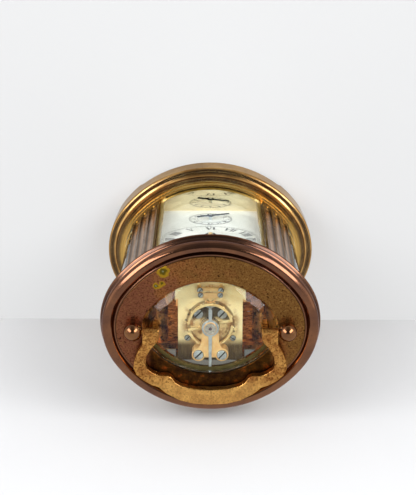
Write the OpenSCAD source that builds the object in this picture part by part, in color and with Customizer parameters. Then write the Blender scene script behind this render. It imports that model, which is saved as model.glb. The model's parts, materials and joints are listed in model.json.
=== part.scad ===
// Oval carriage clock with alarm: glazed case, bail handle, platform escapement.
// It stands on z = 0 with its dial facing -Y and its door facing +Y.

/* [Oval case] */
// Distance from the middle of the oval to the centre of each end arc
end_arc_x = 16; // [15:0.5:17]
// Distance from the middle of the oval to the centre of each long arc
long_arc_y = 12; // [11:0.5:13]
// Radius of the end arcs at the outside of glasses and pilasters
body_r = 24.5; // [24:0.5:27]
// Height of the base, from the table to the top of the floor plate
base_h = 22; // [21:0.5:26]
// Height of glasses and pilasters between base and cornice
body_h = 88; // [87:0.5:94]
// Height of the cornice, up to the flat top plate
cornice_h = 16; // [15.5:0.5:20]
// How far the plinth stands out past the glasses
base_out = 7; // [6.5:0.5:9]
// How far the cornice lip stands out past the glasses
cornice_out = 4.5; // [4.5:0.25:6]
// Thickness of the plinth wall
plinth_t = 3; // [2.5:0.25:3.5]
// Half the length of the arched cut between the front feet
apron_half = 33; // [28:1:34]
// Height of the arched cut at its ends
apron_h = 3; // [2.5:0.25:4]

/* [Pilasters and glass] */
// Thickness of a pilaster
pilaster_t = 4; // [3.8:0.1:5]
// Angle of the long arc, from the middle to the glass edge
front_half = 33; // [31:0.5:34]
// Flutes on each pilaster
flutes = 3; // [2:1:4]
// Radius of the round bottom of a flute
flute_r = 2.2; // [2:0.1:2.6]
// How far the middle of a flute lies outside the pilaster's face
flute_lift = 1; // [0.9:0.05:1.4]
// Length of plain metal above and below a flute
flute_end = 4; // [3:0.5:8]
// Thickness of every glass
glass_t = 2.5; // [2:0.1:2.8]
// Width of the bevel round each glass
bevel_w = 3.2; // [2:0.2:4]
// Thickness left at the edge of a bevelled glass
glass_edge = 1.3; // [1:0.1:1.6]

/* [Top plate and handle] */
// How far the edge of the top plate lies inside the outside of the glasses
top_inset = 2.2; // [1.9:0.1:2.7]
// Thickness of the top plate
top_t = 3; // [2.6:0.1:4]
// Width of the top plate all round its window
window_band = 10.7; // [10.5:0.1:11.5]
// Distance from the edge of the top plate to the middle of each handle post
post_inset = 7.3; // [6.8:0.1:7.5]
// Radius of the ball on a handle post
ball_r = 3.7; // [3.4:0.1:4]
// Height of the handle's pivot above the top plate
pivot_h = 4.4; // [4.2:0.1:5]
// Radius of the handle's pivot pins
pin_r = 1.1; // [0.9:0.1:1.3]
// Thickness of the handle bar
bar_t = 3.6; // [3:0.1:3.8]
// Reach of the handle from its pivot to the outside of the grip
handle_reach = 31.6; // [30:0.1:32.5]
// Width of the grip
grip_w = 6.6; // [5:0.1:7]

/* [Dial and hands] */
// How much narrower half the dial plate is than the end arcs' radius
dial_inset = 2; // [1.5:0.5:4]
// Thickness of the dial plate
dial_t = 1; // [0.8:0.1:1.2]
// Distance from the middle of the case to the dial's face
dial_y = 19; // [18.9:0.1:19.5]
// Distance from the platform's top down to the hands' centre
centre_drop = 44.5; // [43.5:0.5:45.5]
// Distance from the hands' centre down to the alarm dial's centre
alarm_drop = 32.6; // [32:0.2:33.4]
// Length of the hour hand
hour_len = 12; // [10:0.5:14]
// Length of the minute hand
minute_len = 18; // [15:0.5:19]
// Length of the alarm hand
alarm_len = 8.9; // [7:0.1:9.5]

/* [Movement] */
// How much wider half a movement plate is than the end arcs' radius
plate_over = 0.5; // [0:0.1:0.8]
// Thickness of the movement plates
plate_t = 2; // [1.8:0.1:2.2]
// Distance from the middle to the inside of the front movement plate
plate_front = 12; // [11.9:0.1:12.2]
// Distance from the middle to the inside of the back movement plate
plate_back = 15.5; // [15.4:0.1:16]
// Depth of the platform's top below the face of the top plate
platform_drop = 12.5; // [12:0.25:13]
// Width of the platform
platform_w = 26.5; // [24:0.5:28]
// Distance from the middle to the escape wheel's arbor
escape_y = 9.45; // [9.4:0.05:9.6]
// Distance from the middle to the balance staff
balance_y = 1.7; // [1.5:0.05:1.8]
// Outside radius of the balance rim
balance_r = 9.35; // [8:0.05:9.4]
// Outside radius of the going barrel
barrel_r = 14.3; // [13:0.1:14.4]
// Outside radius of the alarm barrel
alarm_barrel_r = 7.6; // [6.5:0.1:7.8]
// Radius of the winding squares, over the corners
square_r = 1.7; // [1.5:0.1:2]
// How much smaller the bell's mouth is than the end arcs' radius
bell_inset = 4.5; // [4.5:0.5:7]

/* [Hidden] */
$fn = 48;

// Clearances: between flat parts, round a turning pivot, and between an arbor and a plate
seat = 0.05;
turn = 0.05;
endshake = 0.15;

// Shape of the oval
long_extra = sqrt(end_arc_x * end_arc_x + long_arc_y * long_arc_y);
end_half = atan2(long_arc_y, end_arc_x);
long_half = 90 - end_half;
overlap = 2;
face_r = body_r + long_extra;

// Levels
floor_z = base_h;
floor_t = 3;
cornice_z = base_h + body_h;
top_z = cornice_z + cornice_h;
groove_d = 1;
ledge_t = 2;
platform_z = top_z - platform_drop;
platform_t = 2;
plate_top = platform_z - platform_t;

// Sizes that follow the oval
top_r = body_r - top_inset;
window_r = top_r - window_band;
post_x = end_arc_x + top_r - post_inset;
dial_w = 2 * (body_r - dial_inset);
plate_w = 2 * (body_r + plate_over);
bell_r = body_r - bell_inset;

// Pilasters
pilaster_in = body_r - pilaster_t;
pilaster_span = long_half - front_half;
flute_pitch = pilaster_span / flutes;
rod_r = 1;
rod_inset = 2.5;
rod_angle = front_half + pilaster_span / 2;
glass_gap = 0.25;
glass_out = body_r - 0.7;
glass_gap_angle = glass_gap / face_r * 180 / PI;

// Rear door: a curved frame that turns on pins at its hinge stile
door_t = 3;
door_gap = 0.3;
door_r = face_r - 0.2;
door_mid = door_r - door_t / 2;
stile_w = 3.4;
hinge_angle = front_half - (door_t / 2 + door_gap) / door_mid * 180 / PI;
door_edge = front_half - door_gap / door_mid * 180 / PI;
stile_angle = stile_w / door_r * 180 / PI;
door_z0 = floor_z + door_gap;
door_z1 = cornice_z - door_gap;
hinge_pin_r = 0.8;
hinge_x = door_mid * sin(hinge_angle);
hinge_y = door_mid * cos(hinge_angle) - long_arc_y;

knob_shank_r = 0.8;
knob_depth = 1.2;
door_play = 0.15;
door_glass_t = 1.6;

// Handle: it rests on the top plate at the far end, a few degrees below level
pivot_z = top_z + pivot_h;
bar_drop = pivot_h - bar_t / 2 - seat;
handle_tilt = asin(bar_drop / handle_reach);
ear_x0 = post_x - 10.4;
ear_x1 = post_x - ball_r - 0.1;
pin_reach = 2.6;

// Arbors of the movement, as seen from the front
centre = [0, platform_z - centre_drop];
alarm_centre = [0, centre[1] - alarm_drop];
m_barrel = 0.42;
m_centre = 0.45;
m_third = 0.35;
m_minute = 0.35;
m_alarm = 0.28;
barrel_teeth = 72;
centre_leaves = 12;
centre_teeth = 60;
third_leaves = 8;
third_teeth = 64;
contrate_leaves = 8;
contrate_teeth = 56;
escape_leaves = 7;
cannon_leaves = 12;
minute_teeth = 36;
minute_leaves = 10;
hour_teeth = 40;
idler_teeth = 60;
alarm_teeth = 60;
alarm_leaves = 8;
escape_teeth = 15;
ratchet_teeth = 24;
pillar_x = plate_w / 2 - 5;
pillar_low = floor_z + 8;
pillar_high = plate_top - 15.5;
pillar_r = 2.2;
hold_down_y = [-6, 7];
pivot_r = 0.5;

function reach(a, b, m) = (a + b) * m / 2;
function polar(c, d, a) = [c[0] + d * cos(a), c[1] + d * sin(a)];
function heading(a, b) = atan2(b[1] - a[1], b[0] - a[0]);
// Angle of a tooth of a wheel with n teeth, driven from heading h by a wheel with m teeth
// that has a tooth at angle a
function meshed(a, m, h, n) = h + 180 + 360 / n * (0.5 + (h - a) * m / 360);
// Where two circles of radius p and q, round a and b, cross: the crossing on the right
function crossing(a, p, b, q) = let(d = norm(b - a),
    t = acos((p * p + d * d - q * q) / (2 * p * d))) polar(a, p, heading(a, b) - t);

barrel_c = polar(centre, reach(barrel_teeth, centre_leaves, m_barrel), 239.3);
contrate_r = contrate_teeth * 0.3 / 2;
contrate_c = [0, centre[1] + 27.5];
third_c = crossing(centre, reach(centre_teeth, third_leaves, m_centre),
    contrate_c, reach(third_teeth, contrate_leaves, m_third));
minute_c = polar(centre, reach(cannon_leaves, minute_teeth, m_minute), 30);
m_hour = 2 * norm(minute_c - centre) / (minute_leaves + hour_teeth);
idler_c = crossing(alarm_centre, reach(hour_teeth, idler_teeth, m_hour),
    centre, reach(hour_teeth, idler_teeth, m_hour));
alarm_barrel_c = barrel_c + [22, -11.8];
alarm_escape_c = polar(alarm_barrel_c, reach(alarm_teeth, alarm_leaves, m_alarm), 80);
hammer_c = [21.2, alarm_escape_c[1] - 3.6];

// Depths of the movement, from front (negative) to back
front_in = -plate_front;
front_out = front_in - plate_t;
back_in = plate_back;
back_out = back_in + plate_t;
dial_back = -dial_y + dial_t;

// Platform escapement
cock_top = platform_z + 6.3;
cock_t = 1.8;
platform_back = back_out + 0.3;
pallet_y = -5.4;
staff_r = 0.3;
cock_screw = [4.8, 13.3];
foot_front = balance_y + balance_r + 0.45;

// Sweeps a profile round the whole oval; x = 0 of the profile lies on the oval of radius r
module round_oval(r) {
    for (s = [0, 180]) rotate(s) {
        end_sweep(r) children();
        long_sweep(r, long_half) children();
    }
}

// One end arc on the +X side, swept as two mirrored halves that overlap in the middle
module end_sweep(r, cut = 0) {
    for (m = [0, 1]) mirror([0, m, 0]) translate([end_arc_x, 0]) rotate(cut - end_half)
        rotate_extrude(angle = end_half - cut + overlap) translate([r, 0]) children();
}

// The front long arc, out to an angle each side of the middle, as two mirrored halves
module long_sweep(r, half) {
    for (m = [0, 1]) mirror([m, 0, 0]) translate([0, long_arc_y]) rotate(270 - half)
        rotate_extrude(angle = half + overlap) translate([r + long_extra, 0]) children();
}

// A part of the front long arc that starts at an angle right of the middle
module long_piece(r, start, span) {
    translate([0, long_arc_y]) rotate(270 + start)
        rotate_extrude(angle = span) translate([r + long_extra, 0]) children();
}

// A solid oval of height h
module oval_slab(r, h) {
    for (s = [0, 180]) rotate(s) {
        end_sweep(0) square([r, h]);
        for (m = [0, 1]) mirror([m, 0, 0]) translate([0, long_arc_y]) rotate(270 - long_half)
            rotate_extrude(angle = long_half + overlap) square([r + long_extra, h]);
    }
}

// A profile rectangle between two offsets and two heights
module band(x0, x1, z0, z1) {
    translate([x0, z0]) square([x1 - x0, z1 - z0]);
}

// A profile circle
module bead(x, z, r) {
    translate([x, z]) circle(r = r);
}

// Copies for the four pilasters, by mirror images
module four_ways() {
    for (mx = [0, 1], my = [0, 1]) mirror([mx, 0, 0]) mirror([0, my, 0]) children();
}

// A round bar along Y between two depths, at a place seen from the front
module rod_y(c, y0, y1, r) {
    translate([c[0], y1, c[1]]) rotate([90, 0, 0]) cylinder(r = r, h = y1 - y0);
}

// Stands a flat outline up behind the front: its thickness runs from y0 to y1
module stand(c, y0, y1, turned = 0) {
    translate([c[0], y1, c[1]]) rotate([90, 0, 0]) rotate(turned)
        linear_extrude(y1 - y0) children();
}

// Wheel outline with n narrow straight-sided teeth of module m, one tooth on the x axis
module teeth(n, m) {
    rp = n * m / 2;
    p = 360 / n;
    polygon([for (i = [0:n - 1], f = [[-0.27, -0.9], [-0.1, 0.65], [0.1, 0.65], [0.27, -0.9]])
        let(r = rp + f[1] * m, a = (i + f[0]) * p) [r * cos(a), r * sin(a)]]);
}

// A wheel with crossings: teeth, a rim, four arms and a hub
module crossed_wheel(n, m, hub, rim = 1.5, arms = 4) {
    rp = n * m / 2;
    difference() {
        teeth(n, m);
        difference() {
            circle(r = rp - m - rim);
            circle(r = hub);
            for (i = [0:arms - 1]) rotate(i * 360 / arms + 45)
                translate([0, -0.6]) square([rp, 1.2]);
        }
    }
}

// Screw standing on z = 0 with its head above and its shank below
module screw(head_r, head_h, shank_r, length) {
    difference() {
        cylinder(r = head_r, h = head_h);
        translate([-head_r - 1, -head_r * 0.14, head_h * 0.55])
            cube([2 * head_r + 2, head_r * 0.28, head_h]);
    }
    translate([0, 0, -length]) cylinder(r = shank_r, h = length + head_h * 0.3);
}

// Base: plinth wall on four feet, torus, cove and three reeds, with a ledge inside
module base_profile() {
    out = base_out;
    wall_in = out - plinth_t;
    ledge_in = pilaster_in - body_r - 1.6;
    rise = floor_z - 22;
    difference() {
        union() {
            band(wall_in, out, 0, 14.2 + rise);
            band(wall_in, out - 1, 14 + rise, 16.6 + rise);
            polygon([[ledge_in, floor_z - floor_t - ledge_t], [2, floor_z - floor_t - ledge_t],
                [wall_in, 14 + rise], [out - 1, 14 + rise], [out - 1.6, 16.6 + rise],
                [out - 1.6, 18.6 + rise], [out - 4, 18.8 + rise],
                [out - 4, 19.6 + rise], [out - 5, 19.6 + rise], [out - 5, 20.4 + rise],
                [out - 6, 20.4 + rise], [out - 6, 21.2 + rise], [0.2, 21.2 + rise],
                [0.2, floor_z], [pilaster_in - body_r, floor_z],
                [pilaster_in - body_r, floor_z - floor_t], [ledge_in, floor_z - floor_t]]);
            bead(out - 1.1, 15.4 + rise, 1.4);
            for (i = [0:2]) bead(out - 4.1 - i, 19.2 + rise + 0.8 * i, 0.55);
        }
        bead(out - 1.5, 18.7 + rise, 2);
    }
}

// Outline of the arched cut under the plinth, with short curved ends
module apron(half) {
    steps = 12;
    end = 2.5;
    polygon(concat([[half, -1], [-half, -1]],
        [for (i = [0:4]) let(a = 90 * i / 4)
            [-half + end * (1 - cos(a)), apron_h * sin(a)]],
        [for (i = [1:steps - 1]) let(t = -1 + 2 * i / steps)
            [t * (half - end), apron_h + 1.4 * (1 - t * t)]],
        [for (i = [4:-1:0]) let(a = 90 * i / 4)
            [half - end * (1 - cos(a)), apron_h * sin(a)]]));
}

module base_plinth() {
    color("peru") difference() {
        round_oval(body_r) base_profile();
        rotate([90, 0, 0]) translate([0, 0, -60]) linear_extrude(120) apron(apron_half);
        rotate([90, 0, 90]) translate([0, 0, -60]) linear_extrude(120)
            apron(apron_half / 2);
        round_oval(glass_out) band(-glass_t - seat, seat, floor_z - groove_d, floor_z + 1);
        four_ways() at_rod() translate([0, 0, floor_z - floor_t - ledge_t - 1])
            cylinder(r = rod_r + turn, h = floor_t + ledge_t + 2);
        at_ledge_screws(pilaster_in - 0.8) translate([0, 0, floor_z - floor_t - ledge_t - 1])
            cylinder(r = 0.6 + turn, h = ledge_t + 2);
        translate([hinge_x, hinge_y, floor_z - 1.5]) cylinder(r = hinge_pin_r + turn, h = 2);
    }
}

// Place of a case rod, inside the front right pilaster
module at_rod() {
    translate([0, long_arc_y]) rotate(270 + rod_angle) translate([face_r - rod_inset, 0])
        children();
}

// Places of four ledge screws on the ends of the oval, at radius r from the end centres
module at_ledge_screws(r) {
    for (s = [0, 180], a = [-25, 25]) rotate(s)
        translate([end_arc_x + r * cos(a), r * sin(a), 0]) children();
}

module floor_plate() {
    color("gold") difference() {
        translate([0, 0, floor_z - floor_t]) oval_slab(pilaster_in - seat, floor_t);
        for (sx = [-1, 1], y = hold_down_y) translate([sx * pillar_x, y, floor_z - floor_t - 1])
            cylinder(r = 1 + turn, h = floor_t + 2);
        at_ledge_screws(pilaster_in - 0.8) translate([0, 0, floor_z - floor_t - 1])
            cylinder(r = 0.6 + turn, h = 2.8);
        translate([hammer_c[0] + 0.8, -2.5, floor_z - floor_t - 1]) cube([6.4, 5, floor_t + 2]);
        translate([0, 0, floor_z - floor_t - 1]) cylinder(r = 1.5 + turn, h = 3);
    }
}

// Front right pilaster: a piece of the oval with round-ended flutes and a rod hole
module pilaster() {
    difference() {
        long_piece(body_r, front_half, pilaster_span)
            band(-pilaster_t, 0, floor_z, cornice_z);
        for (i = [0:flutes - 1]) translate([0, long_arc_y])
            rotate(270 + front_half + (i + 0.5) * flute_pitch)
            translate([face_r + flute_lift, 0, floor_z + flute_end])
            flute(body_h - 2 * flute_end);
        at_rod() translate([0, 0, floor_z - 1]) cylinder(r = rod_r + turn, h = body_h + 2);
    }
}

// A round bar with domed ends, which cuts one flute
module flute(h) {
    rotate_extrude() polygon(concat([[0, h], [0, 0]],
        [for (i = [1:6]) [flute_r * sin(15 * i), flute_r * (1 - cos(15 * i))]],
        [for (i = [6:-1:1]) [flute_r * sin(15 * i), h - flute_r * (1 - cos(15 * i))]]));
}

module front_right_pilaster() { color("rosybrown") pilaster(); }

module front_left_pilaster() { color("rosybrown") mirror([1, 0, 0]) pilaster(); }

module rear_right_pilaster() { color("rosybrown") mirror([0, 1, 0]) pilaster(); }

module rear_left_pilaster() {
    color("rosybrown") mirror([1, 0, 0]) mirror([0, 1, 0]) pilaster();
}

// Cornice: three reeds, a lip, a second reed, the large torus and a fillet, with a ledge
// inside for the top plate
module cornice_profile() {
    out = cornice_out;
    inner = pilaster_in - body_r;
    rim = top_r - body_r;
    ledge_in = rim - 3.3;
    ledge_z = top_z - top_t;
    low = cornice_z;
    high = top_z - 16;
    union() {
        polygon([[inner, low], [0.2, low], [0.2, low + 0.8], [out - 3.5, low + 0.8],
            [out - 3.5, low + 1.6], [out - 2.6, low + 1.6], [out - 2.6, low + 2.4],
            [out - 1.7, low + 2.4], [out - 1.7, low + 3.2], [out - 1, low + 3.8],
            [out - 0.8, high + 6], [out - 0.6, high + 7.6], [out - 1.3, high + 7.8],
            [out - 1.3, high + 9], [out - 2.2, high + 9.4], [out - 2.3, high + 12],
            [out - 3.6, high + 14.5], [out - 6, high + 14.2], [out - 6.1, high + 15.4],
            [rim, high + 15.4], [rim, ledge_z], [ledge_in, ledge_z],
            [ledge_in, ledge_z - ledge_t], [inner, ledge_z - ledge_t - 1]]);
        for (i = [0:2]) bead(out - 3.5 + 0.9 * i, low + 1.2 + 0.8 * i, 0.5);
        bead(out - 0.9, high + 7, 0.9);
        bead(out - 1.6, high + 8.7, 0.6);
        bead(out - 3.6, high + 12.9, 2.6);
    }
}

module cornice() {
    color("sienna") difference() {
        round_oval(body_r) cornice_profile();
        round_oval(glass_out) band(-glass_t - seat, seat, cornice_z - 1, cornice_z + groove_d);
        four_ways() at_rod() translate([0, 0, cornice_z - 1])
            cylinder(r = rod_r + turn, h = 6);
        at_ledge_screws(top_r - 1.6) translate([0, 0, top_z - top_t - ledge_t - 2])
            cylinder(r = 0.6 + turn, h = ledge_t + 3);
        at_ledge_screws(top_r - 1.6) translate([0, 0, cornice_z + 4])
            cylinder(r = 1.3, h = top_z - top_t - ledge_t - cornice_z - 4);
        translate([hinge_x, hinge_y, cornice_z - 0.5])
            cylinder(r = hinge_pin_r + turn, h = 2);
    }
}

// Radius of the top glass under the plate, wider than the window
flange_r = window_r + 1.2;
flange_t = 1.5;

module top_plate() {
    color("saddlebrown") difference() {
        translate([0, 0, top_z - top_t]) oval_slab(top_r - seat, top_t);
        translate([0, 0, top_z - top_t - 1]) oval_slab(window_r, top_t + 2);
        translate([0, 0, top_z - top_t - 1]) oval_slab(flange_r + seat, flange_t + 1);
        for (s = [-1, 1]) translate([s * post_x, 0, top_z - top_t - 1])
            cylinder(r = 1.2 + turn, h = top_t + 2);
        at_ledge_screws(top_r - 1.6) translate([0, 0, top_z - top_t - 1])
            cylinder(r = 0.6 + turn, h = 2.8);
    }
}

// Top glass: a flange under the plate and a bevelled face that rises into the window
module top_glass() {
    color("lightcyan", 0.4) union() {
        translate([0, 0, top_z - top_t]) oval_slab(flange_r, flange_t - seat);
        translate([0, 0, top_z - top_t + flange_t - seat - 0.2])
            oval_slab(window_r - seat, 0.5 + seat);
        round_oval(window_r - bevel_w) polygon([[-2, -1.4 + top_z], [bevel_w - seat, -1.4 + top_z],
            [bevel_w - seat, -1.2 + top_z], [0, top_z - 0.3], [-2, top_z - 0.3]]);
        translate([0, 0, top_z - 1.4]) oval_slab(window_r - bevel_w - 1, 1.1);
    }
}

// Section of an upright glass: bevelled outside at foot and head, ends in the grooves
module glass_profile() {
    z0 = floor_z - groove_d + seat;
    z1 = cornice_z + groove_d - seat;
    in = -glass_t + 0.1;
    thin = in + glass_edge;
    polygon([[in, z0], [thin, z0], [thin, floor_z + 0.4], [-0.1, floor_z + bevel_w],
        [-0.1, cornice_z - bevel_w], [thin, cornice_z - 0.4], [thin, z1], [in, z1]]);
}

// Takes the upright bevel off the edge of a bowed glass whose outside has radius r
module edge_bevel(r, half) {
    drop = glass_t - glass_edge - 0.1;
    for (s = [-1, 1]) rotate(s * half) translate([r, 0, floor_z - 5])
        mirror([0, s < 0 ? 1 : 0, 0]) linear_extrude(body_h + 10)
        polygon([[-drop - 0.1, 1], [-drop, 0], [0.25, -bevel_w - 0.2], [2, -bevel_w], [2, 1]]);
}

module front_glass() {
    color("lightcyan", 0.4) difference() {
        long_sweep(glass_out, front_half - glass_gap_angle) glass_profile();
        translate([0, long_arc_y]) rotate(270)
            edge_bevel(glass_out + long_extra, front_half - glass_gap_angle);
    }
}

module side_glass() {
    cut = glass_gap / body_r * 180 / PI;
    difference() {
        end_sweep(glass_out, cut) glass_profile();
        translate([end_arc_x, 0]) edge_bevel(glass_out, end_half - cut);
    }
}

module right_glass() { color("lightcyan", 0.4) side_glass(); }

module left_glass() { color("lightcyan", 0.4) mirror([1, 0, 0]) side_glass(); }

// Long rods through the pilasters, with heads under the base
module case_rods() {
    color("silver") four_ways() at_rod() {
        translate([0, 0, floor_z - floor_t - ledge_t - 2]) cylinder(r = 2.2, h = 2 - seat);
        translate([0, 0, floor_z - floor_t - ledge_t - 1])
            cylinder(r = rod_r, h = body_h + floor_t + ledge_t + 5);
    }
}

// Eight equal screws: four up through the base's ledge, four up through the cornice's
module ledge_screws() {
    color("silver") for (p = [[pilaster_in - 0.8, floor_z - floor_t - ledge_t],
            [top_r - 1.6, top_z - top_t - ledge_t]])
        at_ledge_screws(p[0]) translate([0, 0, p[1] - seat]) rotate([180, 0, 0])
            screw(1.1, 0.8, 0.6, ledge_t + 1.5);
}

// Door frame: a curved frame with a round hinge stile and a pin at each end of it
module rear_door() {
    in = -door_t;
    color("goldenrod") difference() {
        union() {
            rotate(180) translate([0, long_arc_y]) rotate(270 - hinge_angle)
                rotate_extrude(angle = hinge_angle + door_edge) translate([door_r, 0])
                band(in, 0, door_z0, door_z1);
            translate([hinge_x, hinge_y, door_z0])
                cylinder(r = door_t / 2 - 0.1, h = door_z1 - door_z0);
            translate([hinge_x, hinge_y, floor_z - 1.3])
                cylinder(r = hinge_pin_r, h = body_h + 2.6);
        }
        rotate(180) translate([0, long_arc_y]) rotate(270 - hinge_angle + stile_angle)
            rotate_extrude(angle = hinge_angle + door_edge - 2 * stile_angle)
            translate([door_r, 0]) band(in - 1, 1, door_z0 + stile_w, door_z1 - stile_w);
        rotate(180) translate([0, long_arc_y]) rotate(270 - hinge_angle + stile_angle / 2)
            rotate_extrude(angle = hinge_angle + door_edge - stile_angle)
            translate([door_r, 0])
            band(in - 1, in + 1.7, door_z0 + stile_w / 2, door_z1 - stile_w / 2);
        at_knob() translate([0, 0, -knob_depth - seat])
            cylinder(r = knob_shank_r + turn, h = 2 * door_t);
    }
}

// Place on the outside of the door's free stile, with Z pointing outwards
module at_knob() {
    rotate(180) translate([0, long_arc_y]) rotate(270 + door_edge - stile_angle / 2)
        translate([door_r, 0, (floor_z + cornice_z) / 2]) rotate([0, 90, 0]) children();
}

module door_glass() {
    color("lightcyan", 0.4) rotate(180) translate([0, long_arc_y])
        rotate(270 - hinge_angle + stile_angle / 2 + door_play)
        rotate_extrude(angle = hinge_angle + door_edge - stile_angle - 2 * door_play)
        translate([door_r, 0]) band(-door_t, -door_t + door_glass_t,
            door_z0 + stile_w / 2 + seat, door_z1 - stile_w / 2 - seat);
}

// Turned knob on a shank that is riveted into the stile
module door_knob() {
    color("gold") at_knob() rotate_extrude() polygon([[0, -knob_depth],
        [knob_shank_r, -knob_depth], [knob_shank_r, seat], [1.5, seat], [1.5, 0.6],
        [0.9, 1.1], [0.9, 1.9], [1.9, 2.6], [2.1, 3.4], [1.6, 4.1], [0, 4.3]]);
}

// Half of the handle's outline, seen from above when it lies back: inside, then outside.
// Each row is [share of the posts' distance, distance from the inside or outside of the grip]
handle_in = [[0, 0], [0.216, 0.4], [0.381, 1.7], [0.455, 3.3], [0.494, 5.3], [0.545, 6.3],
    [0.658, 6.4], [0.732, 7.3], [0.81, 9], [0.839, 11.4], [0.823, 15], [0.771, 18], [0.69, 21]];
handle_out = [[0.942, 23.2], [0.984, 19.6], [0.997, 16.2], [0.958, 13.3], [0.871, 10.8],
    [0.758, 8.7], [0.668, 7.7], [0.623, 6.4], [0.558, 4.7], [0.4, 2], [0.223, 0.5], [0, 0]];
function handle_half() = concat(
    [for (p = handle_in) [p[0] * post_x, handle_reach - grip_w - p[1]]],
    [[ear_x0, 2.2], [ear_x0, 0], [ear_x1, 0], [ear_x1, 4.9]],
    [for (p = handle_out) [p[0] * post_x, handle_reach - p[1]]]);

// Bail handle: a flat bar with round ears and a pin into each post
module handle() {
    color("darkgoldenrod") translate([0, 0, pivot_z]) rotate([-handle_tilt, 0, 0]) union() {
        for (s = [0, 1]) mirror([s, 0, 0]) {
            translate([0, 0, -bar_t / 2]) linear_extrude(bar_t)
                polygon(handle_half());
            translate([ear_x0, 0, 0]) rotate([0, 90, 0])
                cylinder(r = bar_t / 2, h = ear_x1 - ear_x0);
            translate([ear_x1 - 1, 0, 0]) rotate([0, 90, 0])
                cylinder(r = pin_r, h = pin_reach + 1);
        }
    }
}

// Ball post: a ball on a collar, with a threaded stem through the top plate
module handle_post() {
    difference() {
        union() {
            sphere(r = ball_r);
            translate([0, 0, -pivot_h + seat]) cylinder(r = 2.5, h = 1);
            translate([0, 0, -pivot_h + seat]) cylinder(r = 1.7, h = 2);
            translate([0, 0, -pivot_h - top_t - 2.6]) cylinder(r = 1.2, h = top_t + 4);
        }
        translate([-ball_r - 1, 0, 0]) rotate([0, 90, 0])
            cylinder(r = pin_r + turn, h = 1 + pin_reach + 0.3);
    }
}

module right_handle_post() {
    color("darkgoldenrod") translate([post_x, 0, pivot_z]) handle_post();
}

module left_handle_post() {
    color("darkgoldenrod") mirror([1, 0, 0]) translate([post_x, 0, pivot_z]) handle_post();
}

module handle_post_nuts() {
    color("silver") for (s = [-1, 1]) translate([s * post_x, 0, top_z - top_t - seat - 1.8])
        difference() {
            cylinder(r = 2.3, h = 1.8, $fn = 6);
            translate([0, 0, -1]) cylinder(r = 1.2 + turn, h = 4);
        }
}

// Outline of a movement plate, narrower where it carries the platform
module plate_outline() {
    translate([-plate_w / 2, floor_z + seat]) square([plate_w, 80]);
    translate([-platform_w / 2 - 1, floor_z + 70])
        square([platform_w + 2, plate_top - seat - floor_z - 70]);
}

// Bearing holes that both plates share: [place, radius of the pivot in it]
bearings = [[barrel_c, 1.5], [third_c, pivot_r], [contrate_c, pivot_r], [alarm_barrel_c, 1.2],
    [alarm_escape_c, pivot_r], [hammer_c, 0.6], [alarm_centre, 0.8]];
pillar_places = [for (sx = [-1, 1], z = [pillar_low, pillar_high]) [sx * pillar_x, z]];

module movement_front_plate() {
    color("khaki") difference() {
        stand([0, 0], front_out, front_in) plate_outline();
        for (b = bearings) rod_y(b[0], front_out - 1, front_in + 1, b[1] + turn);
        rod_y(centre, front_out - 1, front_in + 1, 1 + turn);
        rod_y(minute_c, front_out - 1, front_in + 1, 0.6 + turn);
        rod_y(idler_c, front_out - 1, front_in + 1, 0.6 + turn);
        for (p = pillar_places) rod_y(p, front_out - 1, front_in + 1, 1.2 + turn);
        for (p = dial_feet) rod_y(p, front_out - 1, front_in + 1, 0.8 + turn);
        for (s = [-1, 1]) translate([s * 9, front_in - plate_t / 2, plate_top - 6])
            cylinder(r = 0.55, h = 7);
    }
}

module movement_back_plate() {
    color("khaki") difference() {
        stand([0, 0], back_in, back_out) plate_outline();
        for (b = bearings) rod_y(b[0], back_in - 1, back_out + 1, b[1] + turn);
        rod_y(centre, back_in - 1, back_out + 1, pivot_r + turn);
        for (p = pillar_places) rod_y(p, back_in - 1, back_out + 1, 1 + turn);
        rod_y(click_c, back_in - 1, back_out + 1, 0.6 + turn);
    }
}

// Four pillars, riveted in the front plate and drilled for a screw at the back
module movement_pillars() {
    color("khaki") for (p = pillar_places) difference() {
        union() {
            rod_y(p, front_in, back_in, pillar_r);
            rod_y(p, front_out, front_in + 1, 1.2);
        }
        rod_y(p, back_in - 6, back_in + 1, 1 + turn);
        if (p[1] == pillar_low) for (y = hold_down_y) translate([p[0], y, p[1] - pillar_r - 1])
            cylinder(r = 1 + turn, h = pillar_r + 1.2);
    }
}

module pillar_screws() {
    color("steelblue") for (p = pillar_places) translate([p[0], back_out + seat, p[1]])
        rotate([-90, 0, 0]) screw(2.1, 1.2, 1, plate_t + 5);
}

// Screws up through the floor plate into the two lower pillars
module hold_down_screws() {
    color("silver") for (sx = [-1, 1], y = hold_down_y)
        translate([sx * pillar_x, y, floor_z - floor_t - seat]) rotate([180, 0, 0])
        screw(1.9, 1.2, 1, floor_t + 8);
}

// Dial: a flat enamelled plate on four feet, with holes for the hands' arbors
dial_feet = [for (sx = [-1, 1], z = [16, 66]) [sx * (dial_w / 2 - 6), floor_z + z]];
module dial() {
    color("white") difference() {
        union() {
            translate([-dial_w / 2, -dial_y, floor_z + 0.1]) cube([dial_w, dial_t, body_h - 0.4]);
            for (p = dial_feet) rod_y(p, dial_back - 0.5, front_in - 0.3, 0.8);
        }
        rod_y(centre, -dial_y - 1, dial_back + 1, 3.2);
        rod_y(alarm_centre, -dial_y - 1, dial_back + 1, 1.1);
    }
}

// A hand in front of the dial: a hub of radius r, a tapered pointer and a round boss on it
module hand(y, turned, len, r, w, boss) {
    rod_y(centre, y - hand_t, y, r);
    stand(centre, y - hand_t, y, turned)
        polygon([[-w, 0], [-w * 0.7, len * 0.62], [0, len], [w * 0.7, len * 0.62], [w, 0]]);
    rod_y(polar(centre, len * 0.66, turned + 90), y - hand_t, y, boss);
}

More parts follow.
